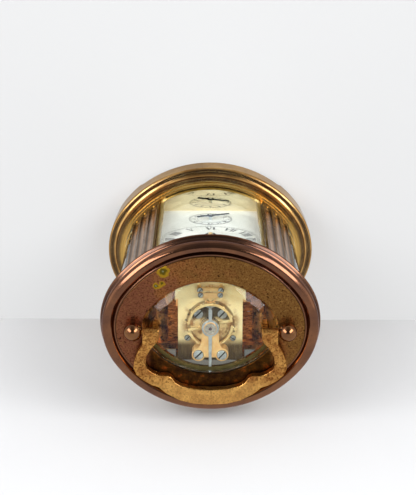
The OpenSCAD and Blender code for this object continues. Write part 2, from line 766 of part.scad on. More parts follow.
module hour_hand() {
    color("midnightblue") difference() {
        hand(-dial_y - 0.9, hour_turn, hour_len, 2.9, 0.7, 1.5);
        rod_y(centre, -dial_y - 2, -dial_y, 2.4 + seat);
    }
}

module minute_hand() {
    color("midnightblue") difference() {
        hand(-dial_y - 1.9, minute_turn, minute_len, 2.2, 0.6, 1.2);
        rod_y(centre, -dial_y - 3, -dial_y, 1.2 + seat);
    }
}

module alarm_hand() {
    y = -dial_y - 1.5;
    color("slategray") difference() {
        union() {
            rod_y(alarm_centre, y - hand_t, y, 1.65);
            stand(alarm_centre, y - hand_t, y, alarm_turn) polygon([[-0.55, 0],
                [-0.3, alarm_len], [0.3, alarm_len], [0.55, 0], [0.6, -6.2], [-0.6, -6.2]]);
        }
        rod_y(alarm_centre, -dial_y - 3, -dial_y, 0.7 + seat);
    }
}

// Depths of the motion work, between the front plate and the dial
works_in = front_out - 0.5;
works_mid = works_in - 0.9;
works_low = works_mid - 0.4;
works_out = works_low - 0.8;

// Turned angles of the wheels that put a tooth opposite a gap
to_minute = heading(centre, minute_c);
hour_wheel_turn = to_minute + 180 / hour_teeth;
idler_turn = meshed(hour_wheel_turn, hour_teeth, heading(centre, idler_c), idler_teeth);
hour_turn = -38;
minute_turn = 62;
alarm_turn = 112;
hand_t = 0.5;

// Cannon pinion: leaves at the back, a pipe through the dial for the minute hand
module cannon_pinion() {
    color("silver") difference() {
        union() {
            stand(centre, works_mid, works_in, to_minute) teeth(cannon_leaves, m_minute);
            rod_y(centre, -dial_y - 1.8, works_in, 1.6);
            rod_y(centre, -dial_y - 2.6, works_in, 1.2);
        }
        rod_y(centre, -dial_y - 3, works_in + 1, 0.8 + seat);
    }
}

module minute_wheel() {
    color("gold") union() {
        stand(minute_c, works_mid, works_in, to_minute + 180 + 180 / minute_teeth)
            crossed_wheel(minute_teeth, m_minute, 1.6, 1);
        stand(minute_c, works_out, works_mid + 0.1, to_minute + 180)
            teeth(minute_leaves, m_hour);
        rod_y(minute_c, works_out - 0.3, front_in, 0.6);
    }
}

module hour_wheel() {
    color("gold") difference() {
        union() {
            stand(centre, works_out, works_low, hour_wheel_turn) difference() {
                teeth(hour_teeth, m_hour);
                circle(r = 2);
            }
            rod_y(centre, -dial_y - 0.6, works_out + 0.5, 2.8);
            rod_y(centre, -dial_y - 1.5, works_out + 0.5, 2.4);
        }
        rod_y(centre, -dial_y - 3, works_in, 1.6 + turn);
    }
}

// Idler and alarm wheel: they carry the hour wheel's motion down to the alarm dial
module alarm_idler() {
    color("gold") union() {
        stand(idler_c, works_out, works_low, idler_turn)
            crossed_wheel(idler_teeth, m_hour, 2, 1.2);
        rod_y(idler_c, works_out - 0.2, front_in, 0.6);
    }
}

module alarm_wheel() {
    color("gold") difference() {
        union() {
            stand(alarm_centre, works_out, works_low,
                meshed(idler_turn, idler_teeth, heading(idler_c, alarm_centre), hour_teeth))
                crossed_wheel(hour_teeth, m_hour, 2.2, 1.2);
            rod_y(alarm_centre, works_out, works_in, 1.6);
            rod_y(polar(alarm_centre, 1.7, 20), works_low - 0.1, works_in, 0.3);
        }
        rod_y(alarm_centre, works_out - 1, works_in + 1, 0.8 + turn);
    }
}

// Setting arbor: through the whole movement, with a square at the back
module alarm_setting_arbor() {
    color("silver") union() {
        rod_y(alarm_centre, -dial_y - 2.2, -dial_y - 1, 0.7);
        rod_y(alarm_centre, -dial_y - 1.4, back_out + 2, 0.8);
        rod_y(alarm_centre, works_in + 0.1, front_out - 0.1, 1.5);
        translate([alarm_centre[0], square_end, alarm_centre[1]]) rotate([90, 0, 0])
            cylinder(r = 1.3, h = square_end - back_out - 1, $fn = 4);
    }
}

// Depths of the going train
barrel_y0 = front_in + 5;
barrel_y1 = back_in - 7.5;
great_t = 1.6;
square_end = back_out + 7;
centre_y = front_in + 1.6;
third_y = barrel_y1 + 1.5;

// Going barrel: a toothed drum, open at the front
module going_barrel() {
    color("gold") difference() {
        union() {
            rod_y(barrel_c, barrel_y0, barrel_y1, barrel_r);
            stand(barrel_c, barrel_y1 - great_t, barrel_y1, heading(barrel_c, centre))
                teeth(barrel_teeth, m_barrel);
        }
        rod_y(barrel_c, barrel_y0 - 1, barrel_y1 - great_t, barrel_r - 1);
        rod_y(barrel_c, barrel_y0, barrel_y1 + 1, 2 + turn);
    }
}

module going_barrel_cap() {
    color("gold") difference() {
        rod_y(barrel_c, barrel_y0 + 0.1, barrel_y0 + 1, barrel_r - 1 - seat);
        rod_y(barrel_c, barrel_y0 - 1, barrel_y0 + 2, 2 + turn);
        rod_y(polar(barrel_c, barrel_r - 2.4, 40), barrel_y0 - 1, barrel_y0 + 2, 0.8);
    }
}

module winding_arbor() {
    color("silver") union() {
        rod_y(barrel_c, front_out, back_out + 2.6, 1.5);
        rod_y(barrel_c, front_in + endshake, back_in - endshake, 2);
        rod_y(barrel_c, barrel_y0 + 1.2, barrel_y1 - great_t - 0.2, 3.4);
        translate([barrel_c[0], square_end, barrel_c[1]]) rotate([90, 0, 0])
            cylinder(r = square_r, h = square_end - back_out, $fn = 4);
    }
}

// Mainspring: a flat spiral strip in the barrel
module mainspring() {
    turns = 7;
    steps = 24 * turns;
    r0 = 4;
    r1 = barrel_r - 1.9;
    strip = 0.4;
    color("slategray") stand(barrel_c, barrel_y0 + 1.3, barrel_y1 - great_t - 0.3)
        polygon(concat(
            [for (i = [0:steps]) let(r = r0 + (r1 - r0) * i / steps, a = 360 * turns * i / steps)
                [r * cos(a), r * sin(a)]],
            [for (i = [steps:-1:0]) let(r = r0 + strip + (r1 - r0) * i / steps,
                a = 360 * turns * i / steps) [r * cos(a), r * sin(a)]]));
}

// Ratchet wheel on the winding arbor, outside the back plate
ratchet_r = 5.2;
ratchet_y = back_out + 0.4;
click_c = polar(barrel_c, ratchet_r + 4.2, 150);
module ratchet_wheel() {
    color("silver") difference() {
        stand(barrel_c, ratchet_y, ratchet_y + 1.2)
            polygon([for (i = [0:ratchet_teeth - 1], f = [[0, ratchet_r], [0.9, ratchet_r - 0.9]])
                let(a = (i + f[0]) * 360 / ratchet_teeth) [f[1] * cos(a), f[1] * sin(a)]]);
        rod_y(barrel_c, back_out, ratchet_y + 2, 1.5 + seat);
        translate([barrel_c[0], ratchet_y + 2, barrel_c[1]]) rotate([90, 0, 0])
            cylinder(r = square_r + seat, h = 3, $fn = 4);
    }
}

module click() {
    nose = heading(click_c, polar(barrel_c, ratchet_r, 96));
    color("silver") union() {
        rod_y(click_c, back_in, ratchet_y, 0.6);
        stand(click_c, ratchet_y, ratchet_y + 1.1) union() {
            circle(r = 1.9);
            rotate(nose) polygon([[0, 1.7], [5.2, 1.3], [5.9, 0.1], [0, -0.4]]);
        }
    }
}

// An arbor between the plates: thin pivots and a thicker body
module arbor(c, r) {
    rod_y(c, front_out + 0.2, back_out - 0.2, pivot_r);
    rod_y(c, front_in + endshake, back_in - endshake, r);
}

module centre_wheel() {
    color("gold") union() {
        rod_y(centre, front_in + endshake, back_in - endshake, 1.4);
        rod_y(centre, front_in, back_out - 0.2, pivot_r);
        rod_y(centre, front_out - 0.2, front_in + 1, 1);
        rod_y(centre, -dial_y - 3, front_in, 0.8);
        stand(centre, centre_y, centre_y + 1, heading(centre, third_c))
            crossed_wheel(centre_teeth, m_centre, 3);
        stand(centre, barrel_y1 - great_t - 0.3, barrel_y1 + 0.4,
            heading(centre, barrel_c) + 180 / centre_leaves) teeth(centre_leaves, m_barrel);
    }
}

module third_wheel() {
    color("gold") union() {
        arbor(third_c, 0.9);
        stand(third_c, centre_y - 0.3, centre_y + 1.3,
            heading(third_c, centre) + 180 / third_leaves) teeth(third_leaves, m_centre);
        stand(third_c, third_y, third_y + 0.9, heading(third_c, contrate_c))
            crossed_wheel(third_teeth, m_third, 2.4);
    }
}

// Contrate wheel: a crown of teeth that points forward and turns the upright pinion
crown_y = -escape_y + 1.85;
module contrate_wheel() {
    tooth = 180 / contrate_teeth;
    color("gold") union() {
        arbor(contrate_c, 0.8);
        stand(contrate_c, third_y - 0.3, third_y + 1.2,
            heading(contrate_c, third_c) + 180 / contrate_leaves)
            teeth(contrate_leaves, m_third);
        stand(contrate_c, crown_y, crown_y + 1.2) difference() {
            circle(r = contrate_r + 0.5);
            difference() {
                circle(r = contrate_r - 1.5);
                circle(r = 1.8);
                for (i = [0:3]) rotate(i * 90 + 45) translate([0, -0.6]) square([10, 1.2]);
            }
        }
        for (i = [0:contrate_teeth - 1])
            translate([contrate_c[0], crown_y + 0.1, contrate_c[1]])
            rotate([90, 0, 0]) rotate(90 + 2 * i * tooth) translate([contrate_r - 0.5, -0.13, 0])
            cube([1, 0.26, 1]);
    }
}

// Platform with its screw holes, and the lower bridge of the escape wheel's arbor
screw_low = [9.3, 8.2];
screw_mid = [4.9, -2.2];
screw_front = [9, front_in - plate_t / 2];
escape_screw = [4, -escape_y - 1.7];
module platform() {
    bridge_z = contrate_c[1] + contrate_r - 3.4;
    color("khaki") difference() {
        union() {
            translate([-platform_w / 2, front_out, platform_z - platform_t])
                cube([platform_w, platform_back - front_out, platform_t]);
            for (s = [-1, 1]) translate([s * 4 - 0.9, -escape_y - 2.2, bridge_z])
                cube([1.8, 2.2, platform_z - platform_t - bridge_z + 0.2]);
            translate([-4.9, -escape_y - 2.2, bridge_z]) cube([9.8, 3.1, 1]);
        }
        translate([0, -escape_y, 0]) cylinder(r = 0.55 + turn, h = 200);
        translate([0, -escape_y, bridge_z + 0.4]) cylinder(r = 1.6, h = 1);
        translate([0, pallet_y, platform_z - 1]) cylinder(r = 0.25 + turn, h = 2);
        translate([0, balance_y, platform_z - 1]) cylinder(r = staff_r + turn, h = 2);
        for (s = [-1, 1]) {
            translate([s * screw_low[0], screw_low[1], platform_z - 3]) cylinder(r = 0.7, h = 4);
            translate([s * screw_mid[0], screw_mid[1], platform_z - 3]) cylinder(r = 0.7, h = 4);
            translate([s * screw_front[0], screw_front[1], platform_z - 3])
                cylinder(r = 0.55, h = 4);
            translate([s * cock_screw[0], cock_screw[1], platform_z - 3])
                cylinder(r = 0.9 + seat, h = 4);
            translate([s * escape_screw[0], escape_screw[1], platform_z - 3])
                cylinder(r = 0.45 + seat, h = 4);
        }
    }
}

module platform_screws() {
    color("silver") for (s = [-1, 1]) {
        translate([s * screw_low[0], screw_low[1], platform_z + seat]) screw(1.1, 0.7, 0.65, 1.8);
        translate([s * screw_mid[0], screw_mid[1], platform_z + seat]) screw(1.9, 0.6, 0.65, 1.8);
        translate([s * screw_front[0], screw_front[1], platform_z + seat])
            screw(1.2, 0.7, 0.5, 5);
        translate([s * cock_screw[0], cock_screw[1], cock_top + seat])
            screw(1.95, 0.6, 0.9, cock_top - platform_z + 1.5);
        translate([s * escape_screw[0], escape_screw[1], platform_z + escape_cock_h + seat])
            screw(0.95, 0.5, 0.45, escape_cock_h + 1.5);
    }
}

// Escape wheel with club teeth, and the pinion under the platform on the same arbor
escape_r = 3;
lever_z = platform_z + 0.9;
escape_cock_h = 2.6;
module escape_wheel() {
    bridge_z = contrate_c[1] + contrate_r - 3.4;
    p = 360 / escape_teeth;
    color("gold") union() {
        translate([0, -escape_y, bridge_z + 0.5])
            cylinder(r = 0.5, h = platform_z + 1.6 - bridge_z - 0.5);
        translate([0, -escape_y, bridge_z + 0.2])
            cylinder(r = 0.4, h = platform_z + escape_cock_h - 0.7 - bridge_z);
        translate([0, -escape_y, contrate_c[1] + contrate_r - 1.6]) rotate(90 + 180 / escape_leaves)
            linear_extrude(3) teeth(escape_leaves, 0.3);
        translate([0, -escape_y, lever_z]) linear_extrude(0.4) difference() {
            polygon([for (i = [0:escape_teeth - 1],
                    f = [[0, escape_r - 0.9], [0.55, escape_r - 0.1], [0.75, escape_r],
                        [0.72, escape_r - 0.9]])
                let(a = (i + f[0]) * p) [f[1] * cos(a), f[1] * sin(a)]]);
            difference() {
                circle(r = escape_r - 1.3);
                circle(r = 0.8);
                for (i = [0:3]) rotate(i * 90) translate([0, -0.25]) square([2, 0.5]);
            }
        }
    }
}

// Lever: pallets that stand just clear of the wheel, and a fork that stops at the pin
pin_path = 1;
pallet_gap = 0.4;
module lever() {
    fork_y = balance_y - pin_path - 0.3;
    reach_y = -escape_y + (escape_r + pallet_gap) * cos(42);
    reach_x = (escape_r + pallet_gap) * sin(42);
    color("silver") union() {
        translate([0, pallet_y, platform_z - 0.6]) cylinder(r = 0.25, h = 2.7);
        translate([0, 0, lever_z]) linear_extrude(0.5) {
            translate([0, pallet_y]) circle(r = 0.7);
            translate([-0.3, pallet_y]) square([0.6, fork_y - pallet_y - 0.6]);
            for (s = [-1, 1]) {
                polygon([[0, fork_y - 1.3], [s * 0.75, fork_y - 0.7], [s * 0.75, fork_y],
                    [s * 0.4, fork_y], [0, fork_y - 0.7]]);
                polygon([[0, pallet_y - 0.5], [0, pallet_y + 0.5], [s * (reach_x + 0.6), reach_y + 0.7],
                    [s * (reach_x + 0.75), reach_y - 0.3], [s * (reach_x + 0.15), reach_y]]);
            }
        }
    }
}

// Balance: staff, roller with its pin, two arms and a cut rim with timing screws
rim_w = 0.95;
balance_z = platform_z + 2.1;
rim_h = 1.2;
rim_screws = 12;
module balance() {
    cut = 12;
    color("gold") translate([0, balance_y, 0]) union() {
        translate([0, 0, platform_z - 0.6]) cylinder(r = staff_r, h = cock_top - platform_z - 0.4);
        translate([0, 0, balance_z - 0.2]) cylinder(r = 1, h = 1.6);
        translate([0, 0, platform_z + 1.5]) cylinder(r = 1.3, h = 0.5);
        translate([0, -pin_path, platform_z + 0.8]) cylinder(r = 0.16, h = 0.9);
        rotate(10) for (s = [0, 180]) rotate(s) {
            translate([0, 0, balance_z]) rotate_extrude(angle = 180 - cut)
                translate([balance_r - rim_w, 0]) square([rim_w, rim_h]);
            translate([0.3, -0.1, balance_z + 0.2]) cube([balance_r - rim_w, 1.1, 0.6]);
            for (i = [0:rim_screws / 2 - 1]) rotate(14 + i * (150 / (rim_screws / 2 - 1)))
                translate([balance_r - 0.2, 0, balance_z + rim_h / 2]) rotate([0, 90, 0])
                cylinder(r = 0.42, h = 0.65);
        }
    }
}

// Hairspring: a flat spiral above the balance, fixed to the staff
module hairspring() {
    turns = 6;
    steps = 24 * turns;
    r0 = staff_r + 0.6;
    pitch = 0.5;
    strip = 0.16;
    color("steelblue") translate([0, balance_y, balance_z + rim_h + 0.6]) union() {
        linear_extrude(0.45) polygon(concat(
            [for (i = [0:steps]) let(a = 360 * turns * i / steps, r = r0 + pitch * a / 360)
                [r * cos(a), r * sin(a)]],
            [for (i = [steps:-1:0]) let(a = 360 * turns * i / steps,
                r = r0 + strip + pitch * a / 360) [r * cos(a), r * sin(a)]]));
        difference() {
            cylinder(r = r0 + strip, h = 0.45);
            translate([0, 0, -1]) cylinder(r = staff_r + seat, h = 3);
        }
    }
}

// Balance cock: a foot with two lobes, a waisted arm and the round end cap
neck_half = 3.7;
end_cap_r = 2.6;
module balance_cock() {
    lobe = 2.7;
    color("khaki") difference() {
        union() {
            translate([0, 0, cock_top - cock_t]) linear_extrude(cock_t) {
                translate([0, balance_y]) circle(r = 3.3);
                polygon([[-3.2, balance_y], [3.2, balance_y], [neck_half, 8.6], [5.4, 11.4],
                    [5.4, 14.4], [-5.4, 14.4], [-5.4, 11.4], [-neck_half, 8.6]]);
                for (s = [-1, 1]) translate([s * cock_screw[0], cock_screw[1]])
                    circle(r = lobe);
            }
            difference() {
                translate([0, 0, platform_z + seat]) linear_extrude(cock_top - platform_z - 0.5) {
                    for (s = [-1, 1]) translate([s * cock_screw[0], cock_screw[1]])
                        circle(r = lobe);
                    translate([-cock_screw[0], foot_front])
                        square([2 * cock_screw[0], 14.4 - foot_front]);
                }
                translate([0, balance_y, platform_z - 1])
                    cylinder(r = foot_front - balance_y + 0.4, h = cock_top - cock_t - platform_z + 1);
            }
            translate([0, balance_y, cock_top - 0.1]) cylinder(r = end_cap_r, h = 1.1);
        }
        translate([0, balance_y, cock_top - cock_t - 1]) cylinder(r = staff_r + turn, h = 2);
        for (s = [-1, 1]) translate([s * cock_screw[0], cock_screw[1], platform_z - 1])
            cylinder(r = 0.9 + turn, h = 10);
    }
}

// Regulator: a ring round the end cap, a long index arm behind and a short stub in front
module regulator() {
    t = 0.55;
    color("silver") translate([0, balance_y, cock_top + seat]) difference() {
        union() {
            cylinder(r = 3.5, h = t);
            linear_extrude(t) polygon([[-0.75, 0], [-0.45, 20.2], [0.45, 20.2], [0.75, 0]]);
            linear_extrude(t) polygon([[-0.6, 0], [-0.75, -8], [0.75, -8], [0.6, 0]]);
        }
        translate([0, 0, -1]) cylinder(r = end_cap_r + turn, h = t + 2);
    }
}

// Cock over the escape wheel, held by two small screws in front of it
module escape_cock() {
    h = escape_cock_h;
    color("khaki") difference() {
        union() {
            for (s = [-1, 1]) translate([s * escape_screw[0], escape_screw[1], platform_z + seat])
                cylinder(r = 0.95, h = h - seat);
            translate([-escape_screw[0], escape_screw[1] - 0.8, platform_z + h - 0.9])
                cube([2 * escape_screw[0], 1.9, 0.9]);
            translate([0, -escape_y, platform_z + h - 0.9]) cylinder(r = 0.95, h = 0.9);
        }
        translate([0, -escape_y, platform_z]) cylinder(r = 0.4 + turn, h = h - 0.2);
        for (s = [-1, 1]) translate([s * escape_screw[0], escape_screw[1], platform_z - 1])
            cylinder(r = 0.45 + turn, h = h + 2);
    }
}

// Alarm barrel with its own spring inside, shown closed, and its winding arbor
alarm_y0 = -2;
alarm_y1 = 8.5;
module alarm_barrel() {
    color("gold") difference() {
        union() {
            rod_y(alarm_barrel_c, alarm_y0, alarm_y1, alarm_barrel_r);
            stand(alarm_barrel_c, alarm_y1 - 1.2, alarm_y1, heading(alarm_barrel_c, alarm_escape_c))
                teeth(alarm_teeth, m_alarm);
        }
        rod_y(alarm_barrel_c, alarm_y0 - 1, alarm_y1 + 1, 1.6 + turn);
        rod_y(alarm_barrel_c, alarm_y0 + 1, alarm_y1 - 1.2, alarm_barrel_r - 0.9);
    }
}

module alarm_winding_arbor() {
    color("silver") union() {
        rod_y(alarm_barrel_c, front_out, back_out + 2, 1.2);
        rod_y(alarm_barrel_c, front_in + endshake, back_in - endshake, 1.6);
        translate([alarm_barrel_c[0], square_end, alarm_barrel_c[1]]) rotate([90, 0, 0])
            cylinder(r = square_r, h = square_end - back_out - endshake, $fn = 4);
    }
}

alarm_wheel_y = alarm_y0 - 2.5;
module alarm_escape_wheel() {
    n = 16;
    r = 3.6;
    color("gold") union() {
        arbor(alarm_escape_c, 0.8);
        stand(alarm_escape_c, alarm_y1 - 1.4, alarm_y1 + 0.3,
            heading(alarm_escape_c, alarm_barrel_c) + 180 / alarm_leaves)
            teeth(alarm_leaves, m_alarm);
        stand(alarm_escape_c, alarm_wheel_y, alarm_wheel_y + 0.9)
            polygon([for (i = [0:n - 1], f = [[0, r], [0.35, r - 1]])
                let(a = (i + f[0]) * 360 / n) [f[1] * cos(a), f[1] * sin(a)]]);
    }
}

// Hammer: an arbor with an anchor beside the alarm escape wheel, and an arm to the bell
hammer_x = bell_r + 3.1;
module alarm_hammer() {
    head_z = 8;
    color("silver") union() {
        rod_y(hammer_c, front_out + 0.2, back_out - 0.2, 0.6);
        rod_y(hammer_c, front_in + endshake, back_in - endshake, 0.9);
        stand(hammer_c, alarm_wheel_y, alarm_wheel_y + 0.9) polygon([[-1.2, 1.6], [-2, 1.4],
            [-1.4, -1.2], [-1.9, -1.5], [-0.6, -1.6], [0.9, 0], [-0.6, 1.6]]);
        rotate([90, 0, 0]) translate([0, 0, -0.6]) linear_extrude(1.2)
            polygon([[hammer_c[0] - 0.7, hammer_c[1]], [hammer_c[0] + 1, hammer_c[1]],
                [hammer_c[0] + 3.6, floor_z + 4], [hammer_x + 1.4, head_z],
                [hammer_x + 0.2, head_z], [hammer_c[0] + 2.5, floor_z + 4]]);
        translate([hammer_x + 1.5, 0, head_z]) rotate([0, -90, 0]) cylinder(r = 1.7, h = 3.6);
    }
}

// Bell: a thin turned cup, mouth down, hung on its post inside the base
bell_top = floor_z - 6;
module bell() {
    color("lightsteelblue") rotate_extrude() polygon([[1.2 + turn, bell_top], [6, bell_top],
        [bell_r - 5, bell_top - 1.6], [bell_r - 2, bell_top - 4.4], [bell_r - 0.8, bell_top - 8],
        [bell_r, bell_top - 10.6], [bell_r - 1.3, bell_top - 10.6], [bell_r - 2, bell_top - 8],
        [bell_r - 3.2, bell_top - 5.1], [bell_r - 5.8, bell_top - 2.8], [6, bell_top - 1.2],
        [1.2 + turn, bell_top - 1.2]]);
}

// Post under the floor plate that carries the bell, with its nut drawn tight
module bell_post() {
    color("silver") difference() {
        union() {
            translate([0, 0, bell_top - 3.2]) cylinder(r = 1.2, h = floor_z - bell_top);
            translate([0, 0, bell_top + seat])
                cylinder(r = 2.6, h = floor_z - floor_t - bell_top - 2 * seat);
            translate([0, 0, floor_z - floor_t - 0.5]) cylinder(r = 1.5, h = 2);
            translate([0, 0, bell_top - 1.2 - seat - 1.6]) cylinder(r = 2.4, h = 1.6, $fn = 6);
        }
    }
}

base_plinth();
floor_plate();
front_left_pilaster();
front_right_pilaster();
rear_left_pilaster();
rear_right_pilaster();
cornice();
top_plate();
top_glass();
front_glass();
left_glass();
right_glass();
case_rods();
ledge_screws();
rear_door();
door_glass();
door_knob();
handle();
left_handle_post();
right_handle_post();
handle_post_nuts();
movement_front_plate();
movement_back_plate();
movement_pillars();
pillar_screws();
hold_down_screws();
dial();
hour_hand();
minute_hand();
alarm_hand();
cannon_pinion();
minute_wheel();
hour_wheel();
alarm_idler();
alarm_wheel();
going_barrel();
going_barrel_cap();
winding_arbor();
mainspring();
ratchet_wheel();
click();
centre_wheel();
third_wheel();
contrate_wheel();
platform();
platform_screws();
escape_wheel();
lever();
balance();
hairspring();
balance_cock();
regulator();
escape_cock();
alarm_barrel();
alarm_winding_arbor();
alarm_escape_wheel();
alarm_hammer();
alarm_setting_arbor();
bell();
bell_post();
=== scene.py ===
"""Oval carriage clock: finished pieces, finishes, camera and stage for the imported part."""
import json
import math

import bpy
from mathutils import Matrix, Vector


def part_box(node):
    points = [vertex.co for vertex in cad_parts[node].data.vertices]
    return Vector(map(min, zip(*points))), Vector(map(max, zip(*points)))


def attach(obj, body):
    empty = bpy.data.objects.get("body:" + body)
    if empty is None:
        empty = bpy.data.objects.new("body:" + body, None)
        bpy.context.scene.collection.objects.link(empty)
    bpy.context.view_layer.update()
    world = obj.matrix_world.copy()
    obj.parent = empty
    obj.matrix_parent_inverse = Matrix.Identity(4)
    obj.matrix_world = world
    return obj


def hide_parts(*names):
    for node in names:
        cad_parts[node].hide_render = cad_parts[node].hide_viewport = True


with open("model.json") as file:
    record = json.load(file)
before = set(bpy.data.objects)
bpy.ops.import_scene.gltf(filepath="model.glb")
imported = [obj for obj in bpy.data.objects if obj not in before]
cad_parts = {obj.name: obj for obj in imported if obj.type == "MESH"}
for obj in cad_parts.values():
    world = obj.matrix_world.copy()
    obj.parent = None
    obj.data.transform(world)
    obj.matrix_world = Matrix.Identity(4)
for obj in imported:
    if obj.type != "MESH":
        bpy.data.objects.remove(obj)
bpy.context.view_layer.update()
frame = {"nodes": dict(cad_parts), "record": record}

bl_info = {
    "name": "Oval carriage clock",
    "version": (1, 0, 0),
    "blender": (4, 5, 0),
    "location": "3D View > Sidebar > Clock",
    "description": "Finished pieces, finishes, camera and stage of an oval carriage clock",
    "category": "Object",
}

MM = 0.001


def low(node):
    """Lowest corner of a node of the frame, in mm."""
    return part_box(node)[0] / MM


def high(node):
    """Highest corner of a node of the frame, in mm."""
    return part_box(node)[1] / MM


# The oval: two end arcs round (+-END_X, 0) and two long arcs round (0, +-LONG_Y)
END_X = 16
LONG_Y = 12
LONG_EXTRA = math.hypot(END_X, LONG_Y)
END_HALF = math.degrees(math.atan2(LONG_Y, END_X))
LONG_HALF = 90 - END_HALF
BODY_R = 24.5
FACE_R = BODY_R + LONG_EXTRA

# Levels, from the frame
FLOOR_Z = high("floor_plate").z
CORNICE_Z = low("cornice").z
TOP_Z = high("top_plate").z
PLATFORM_Z = high("platform").z
CAP_Z = high("balance_cock").z
BALANCE_Y = (low("balance").y + high("balance").y) / 2
DIAL_Y = low("dial").y
PLATE_BACK = high("movement_back_plate").y
POST_X = (low("right_handle_post").x + high("right_handle_post").x) / 2
POST_TOP = high("right_handle_post").z

# Small dark marks on the platform, as places in x and y
MARKS = ((9.95, 0.45), (8.9, -1.95), (-9.85, 3.35), (-9.75, 5.3), (-7.4, 0.6), (8.3, -3.9))
# The platform's screws: place, height over it, radii of head and shank, head's height, shank's length
PLATFORM_SCREWS = (((9.3, 8.2), 0, 1.1, 0.65, 0.7, 1.8), ((4.9, -2.2), 0, 1.9, 0.65, 0.6, 1.8),
                   ((9, -13), 0, 1.2, 0.5, 0.7, 5), ((4.8, 13.3), 6.3, 1.95, 0.9, 0.6, 7.8),
                   ((4, -11.15), 2.6, 0.95, 0.45, 0.5, 4.1))

# Stains on the top plate: place, radius
STAINS = (((18.9, -23.75), 2.75), ((21.9, -17.9), 1.5), ((19.5, -19.1), 1.25))
# Heights of the grooves in the base and the cornice, darkened by dust and by painted shade
BASE_GROOVES = (14.35, 16.75, 18.8, 19.65, 20.45, 21.3)
CORNICE_GROOVES = [CORNICE_Z + z for z in (3.3, 7.95, 9.0, 10.0, 10.8)]

# Edge of the top plate, and of the window in it
TOP_R = 22.3
WINDOW_R = 11.6
# Half the front glass's angle, in degrees
FRONT_HALF = 33
# Upright glasses: outer face, thickness, thickness at the edge, clearance beside a pilaster
GLASS_OUT = BODY_R - 0.7
GLASS_T = 2.5
GLASS_EDGE = 1.3
GLASS_GAP = 0.25
BEVEL_W = 3.2
# Pilasters: depth, and their flutes' radius, lift of the cutter's axis, and plain ends
PILASTER_DEPTH = 4
FLUTE_R = 2.2
FLUTE_LIFT = 1.0
FLUTE_END = 4.0
# Ball on each handle post, its neck and its stem
BALL_R = 3.7
NECK_R = 1.6
STEM_LENGTH = 5.6
# Arched cuts between the feet: half width, and whether it is one of the sides
APRONS = ((33, False), (16.5, True))
# How far out the cutters of the arches start and end
CUTTER_REACH = 60
# Narrows the turned base by a hair, so that it stays inside the solid's box
BASE_INSIDE = 0.9998
# Gap below which points are joined
WELD_GAP = 0.004


# Work with the tools


def clear_all():
    if bpy.context.mode != "OBJECT":
        bpy.ops.object.mode_set(mode="OBJECT")
    bpy.ops.object.select_all(action="DESELECT")


def hold(piece):
    """Selects one piece alone and makes it the active one."""
    clear_all()
    piece.select_set(True)
    bpy.context.view_layer.objects.active = piece


def open_up(piece):
    """Opens a piece in edit mode, for its points, with everything deselected."""
    hold(piece)
    bpy.ops.object.mode_set(mode="EDIT")
    bpy.ops.mesh.select_mode(type="VERT")
    bpy.ops.mesh.select_all(action="DESELECT")


def close_up():
    bpy.ops.object.mode_set(mode="OBJECT")


def pick(piece, test):
    """Selects the points whose place, in mm, passes a test. The piece stays in edit mode."""
    open_up(piece)
    close_up()
    for v in piece.data.vertices:
        v.select = test(v.co / MM)
    bpy.ops.object.mode_set(mode="EDIT")


def draw_line(name, points):
    """Starts a piece as a line through points in mm. It stays open in edit mode, all selected."""
    clear_all()
    bpy.ops.mesh.primitive_plane_add(size=MM)
    piece = bpy.context.object
    piece.name = piece.data.name = name
    bpy.ops.object.mode_set(mode="EDIT")
    bpy.ops.mesh.select_all(action="SELECT")
    bpy.ops.mesh.merge(type="CENTER")
    at = Vector((0, 0, 0))
    for i, point in enumerate(points):
        step = (Vector(point) - at) * MM
        at = Vector(point)
        if i == 0:
            bpy.ops.transform.translate(value=step)
        else:
            bpy.ops.mesh.extrude_region_move(TRANSFORM_OT_translate={"value": step})
    bpy.ops.mesh.select_all(action="SELECT")
    return piece


def sweep(angle, centre, steps):
    """Spins what is selected by an angle in degrees, counter-clockwise as seen from above."""
    bpy.ops.mesh.spin(steps=steps, angle=-math.radians(angle), center=Vector(centre) * MM,
                      axis=(0, 0, 1))


def weld(gap=WELD_GAP):
    """Joins points that lie together and turns every face outwards."""
    bpy.ops.mesh.select_all(action="SELECT")
    bpy.ops.mesh.remove_doubles(threshold=gap * MM)
    bpy.ops.mesh.normals_make_consistent(inside=False)


def smooth(piece, angle=30):
    hold(piece)
    bpy.ops.object.shade_smooth_by_angle(angle=math.radians(angle))


def apply_modifier(piece, kind, **settings):
    """Adds a modifier to a piece and applies it."""
    hold(piece)
    bpy.ops.object.modifier_add(type=kind)
    modifier = piece.modifiers[-1]
    for key, value in settings.items():
        setattr(modifier, key, value)
    bpy.ops.object.modifier_apply(modifier=modifier.name)


def apply_bevel(piece, width, segments=2, angle=35):
    """Takes the sharpness off every edge that turns by more than an angle."""
    apply_modifier(piece, "BEVEL", width=width * MM, segments=segments, limit_method="ANGLE",
                   angle_limit=math.radians(angle))


def cut(piece, cutter):
    """Takes the cutter's shape out of the piece, and the cutter away."""
    apply_modifier(piece, "BOOLEAN", operation="DIFFERENCE", solver="EXACT", object=cutter)
    bpy.data.objects.remove(cutter)


def join(pieces, name):
    clear_all()
    for piece in pieces:
        piece.select_set(True)
    bpy.context.view_layer.objects.active = pieces[0]
    if len(pieces) > 1:
        bpy.ops.object.join()
    pieces[0].name = pieces[0].data.name = name
    return pieces[0]


def copy_of(piece, name):
    """A copy with its own mesh."""
    new = bpy.data.objects.new(name, piece.data.copy())
    new.data.name = name
    bpy.context.scene.collection.objects.link(new)
    return new


def set_down(piece):
    """Puts a piece's place, turn and scale into its mesh."""
    hold(piece)
    bpy.ops.object.transform_apply(location=True, rotation=True, scale=True)


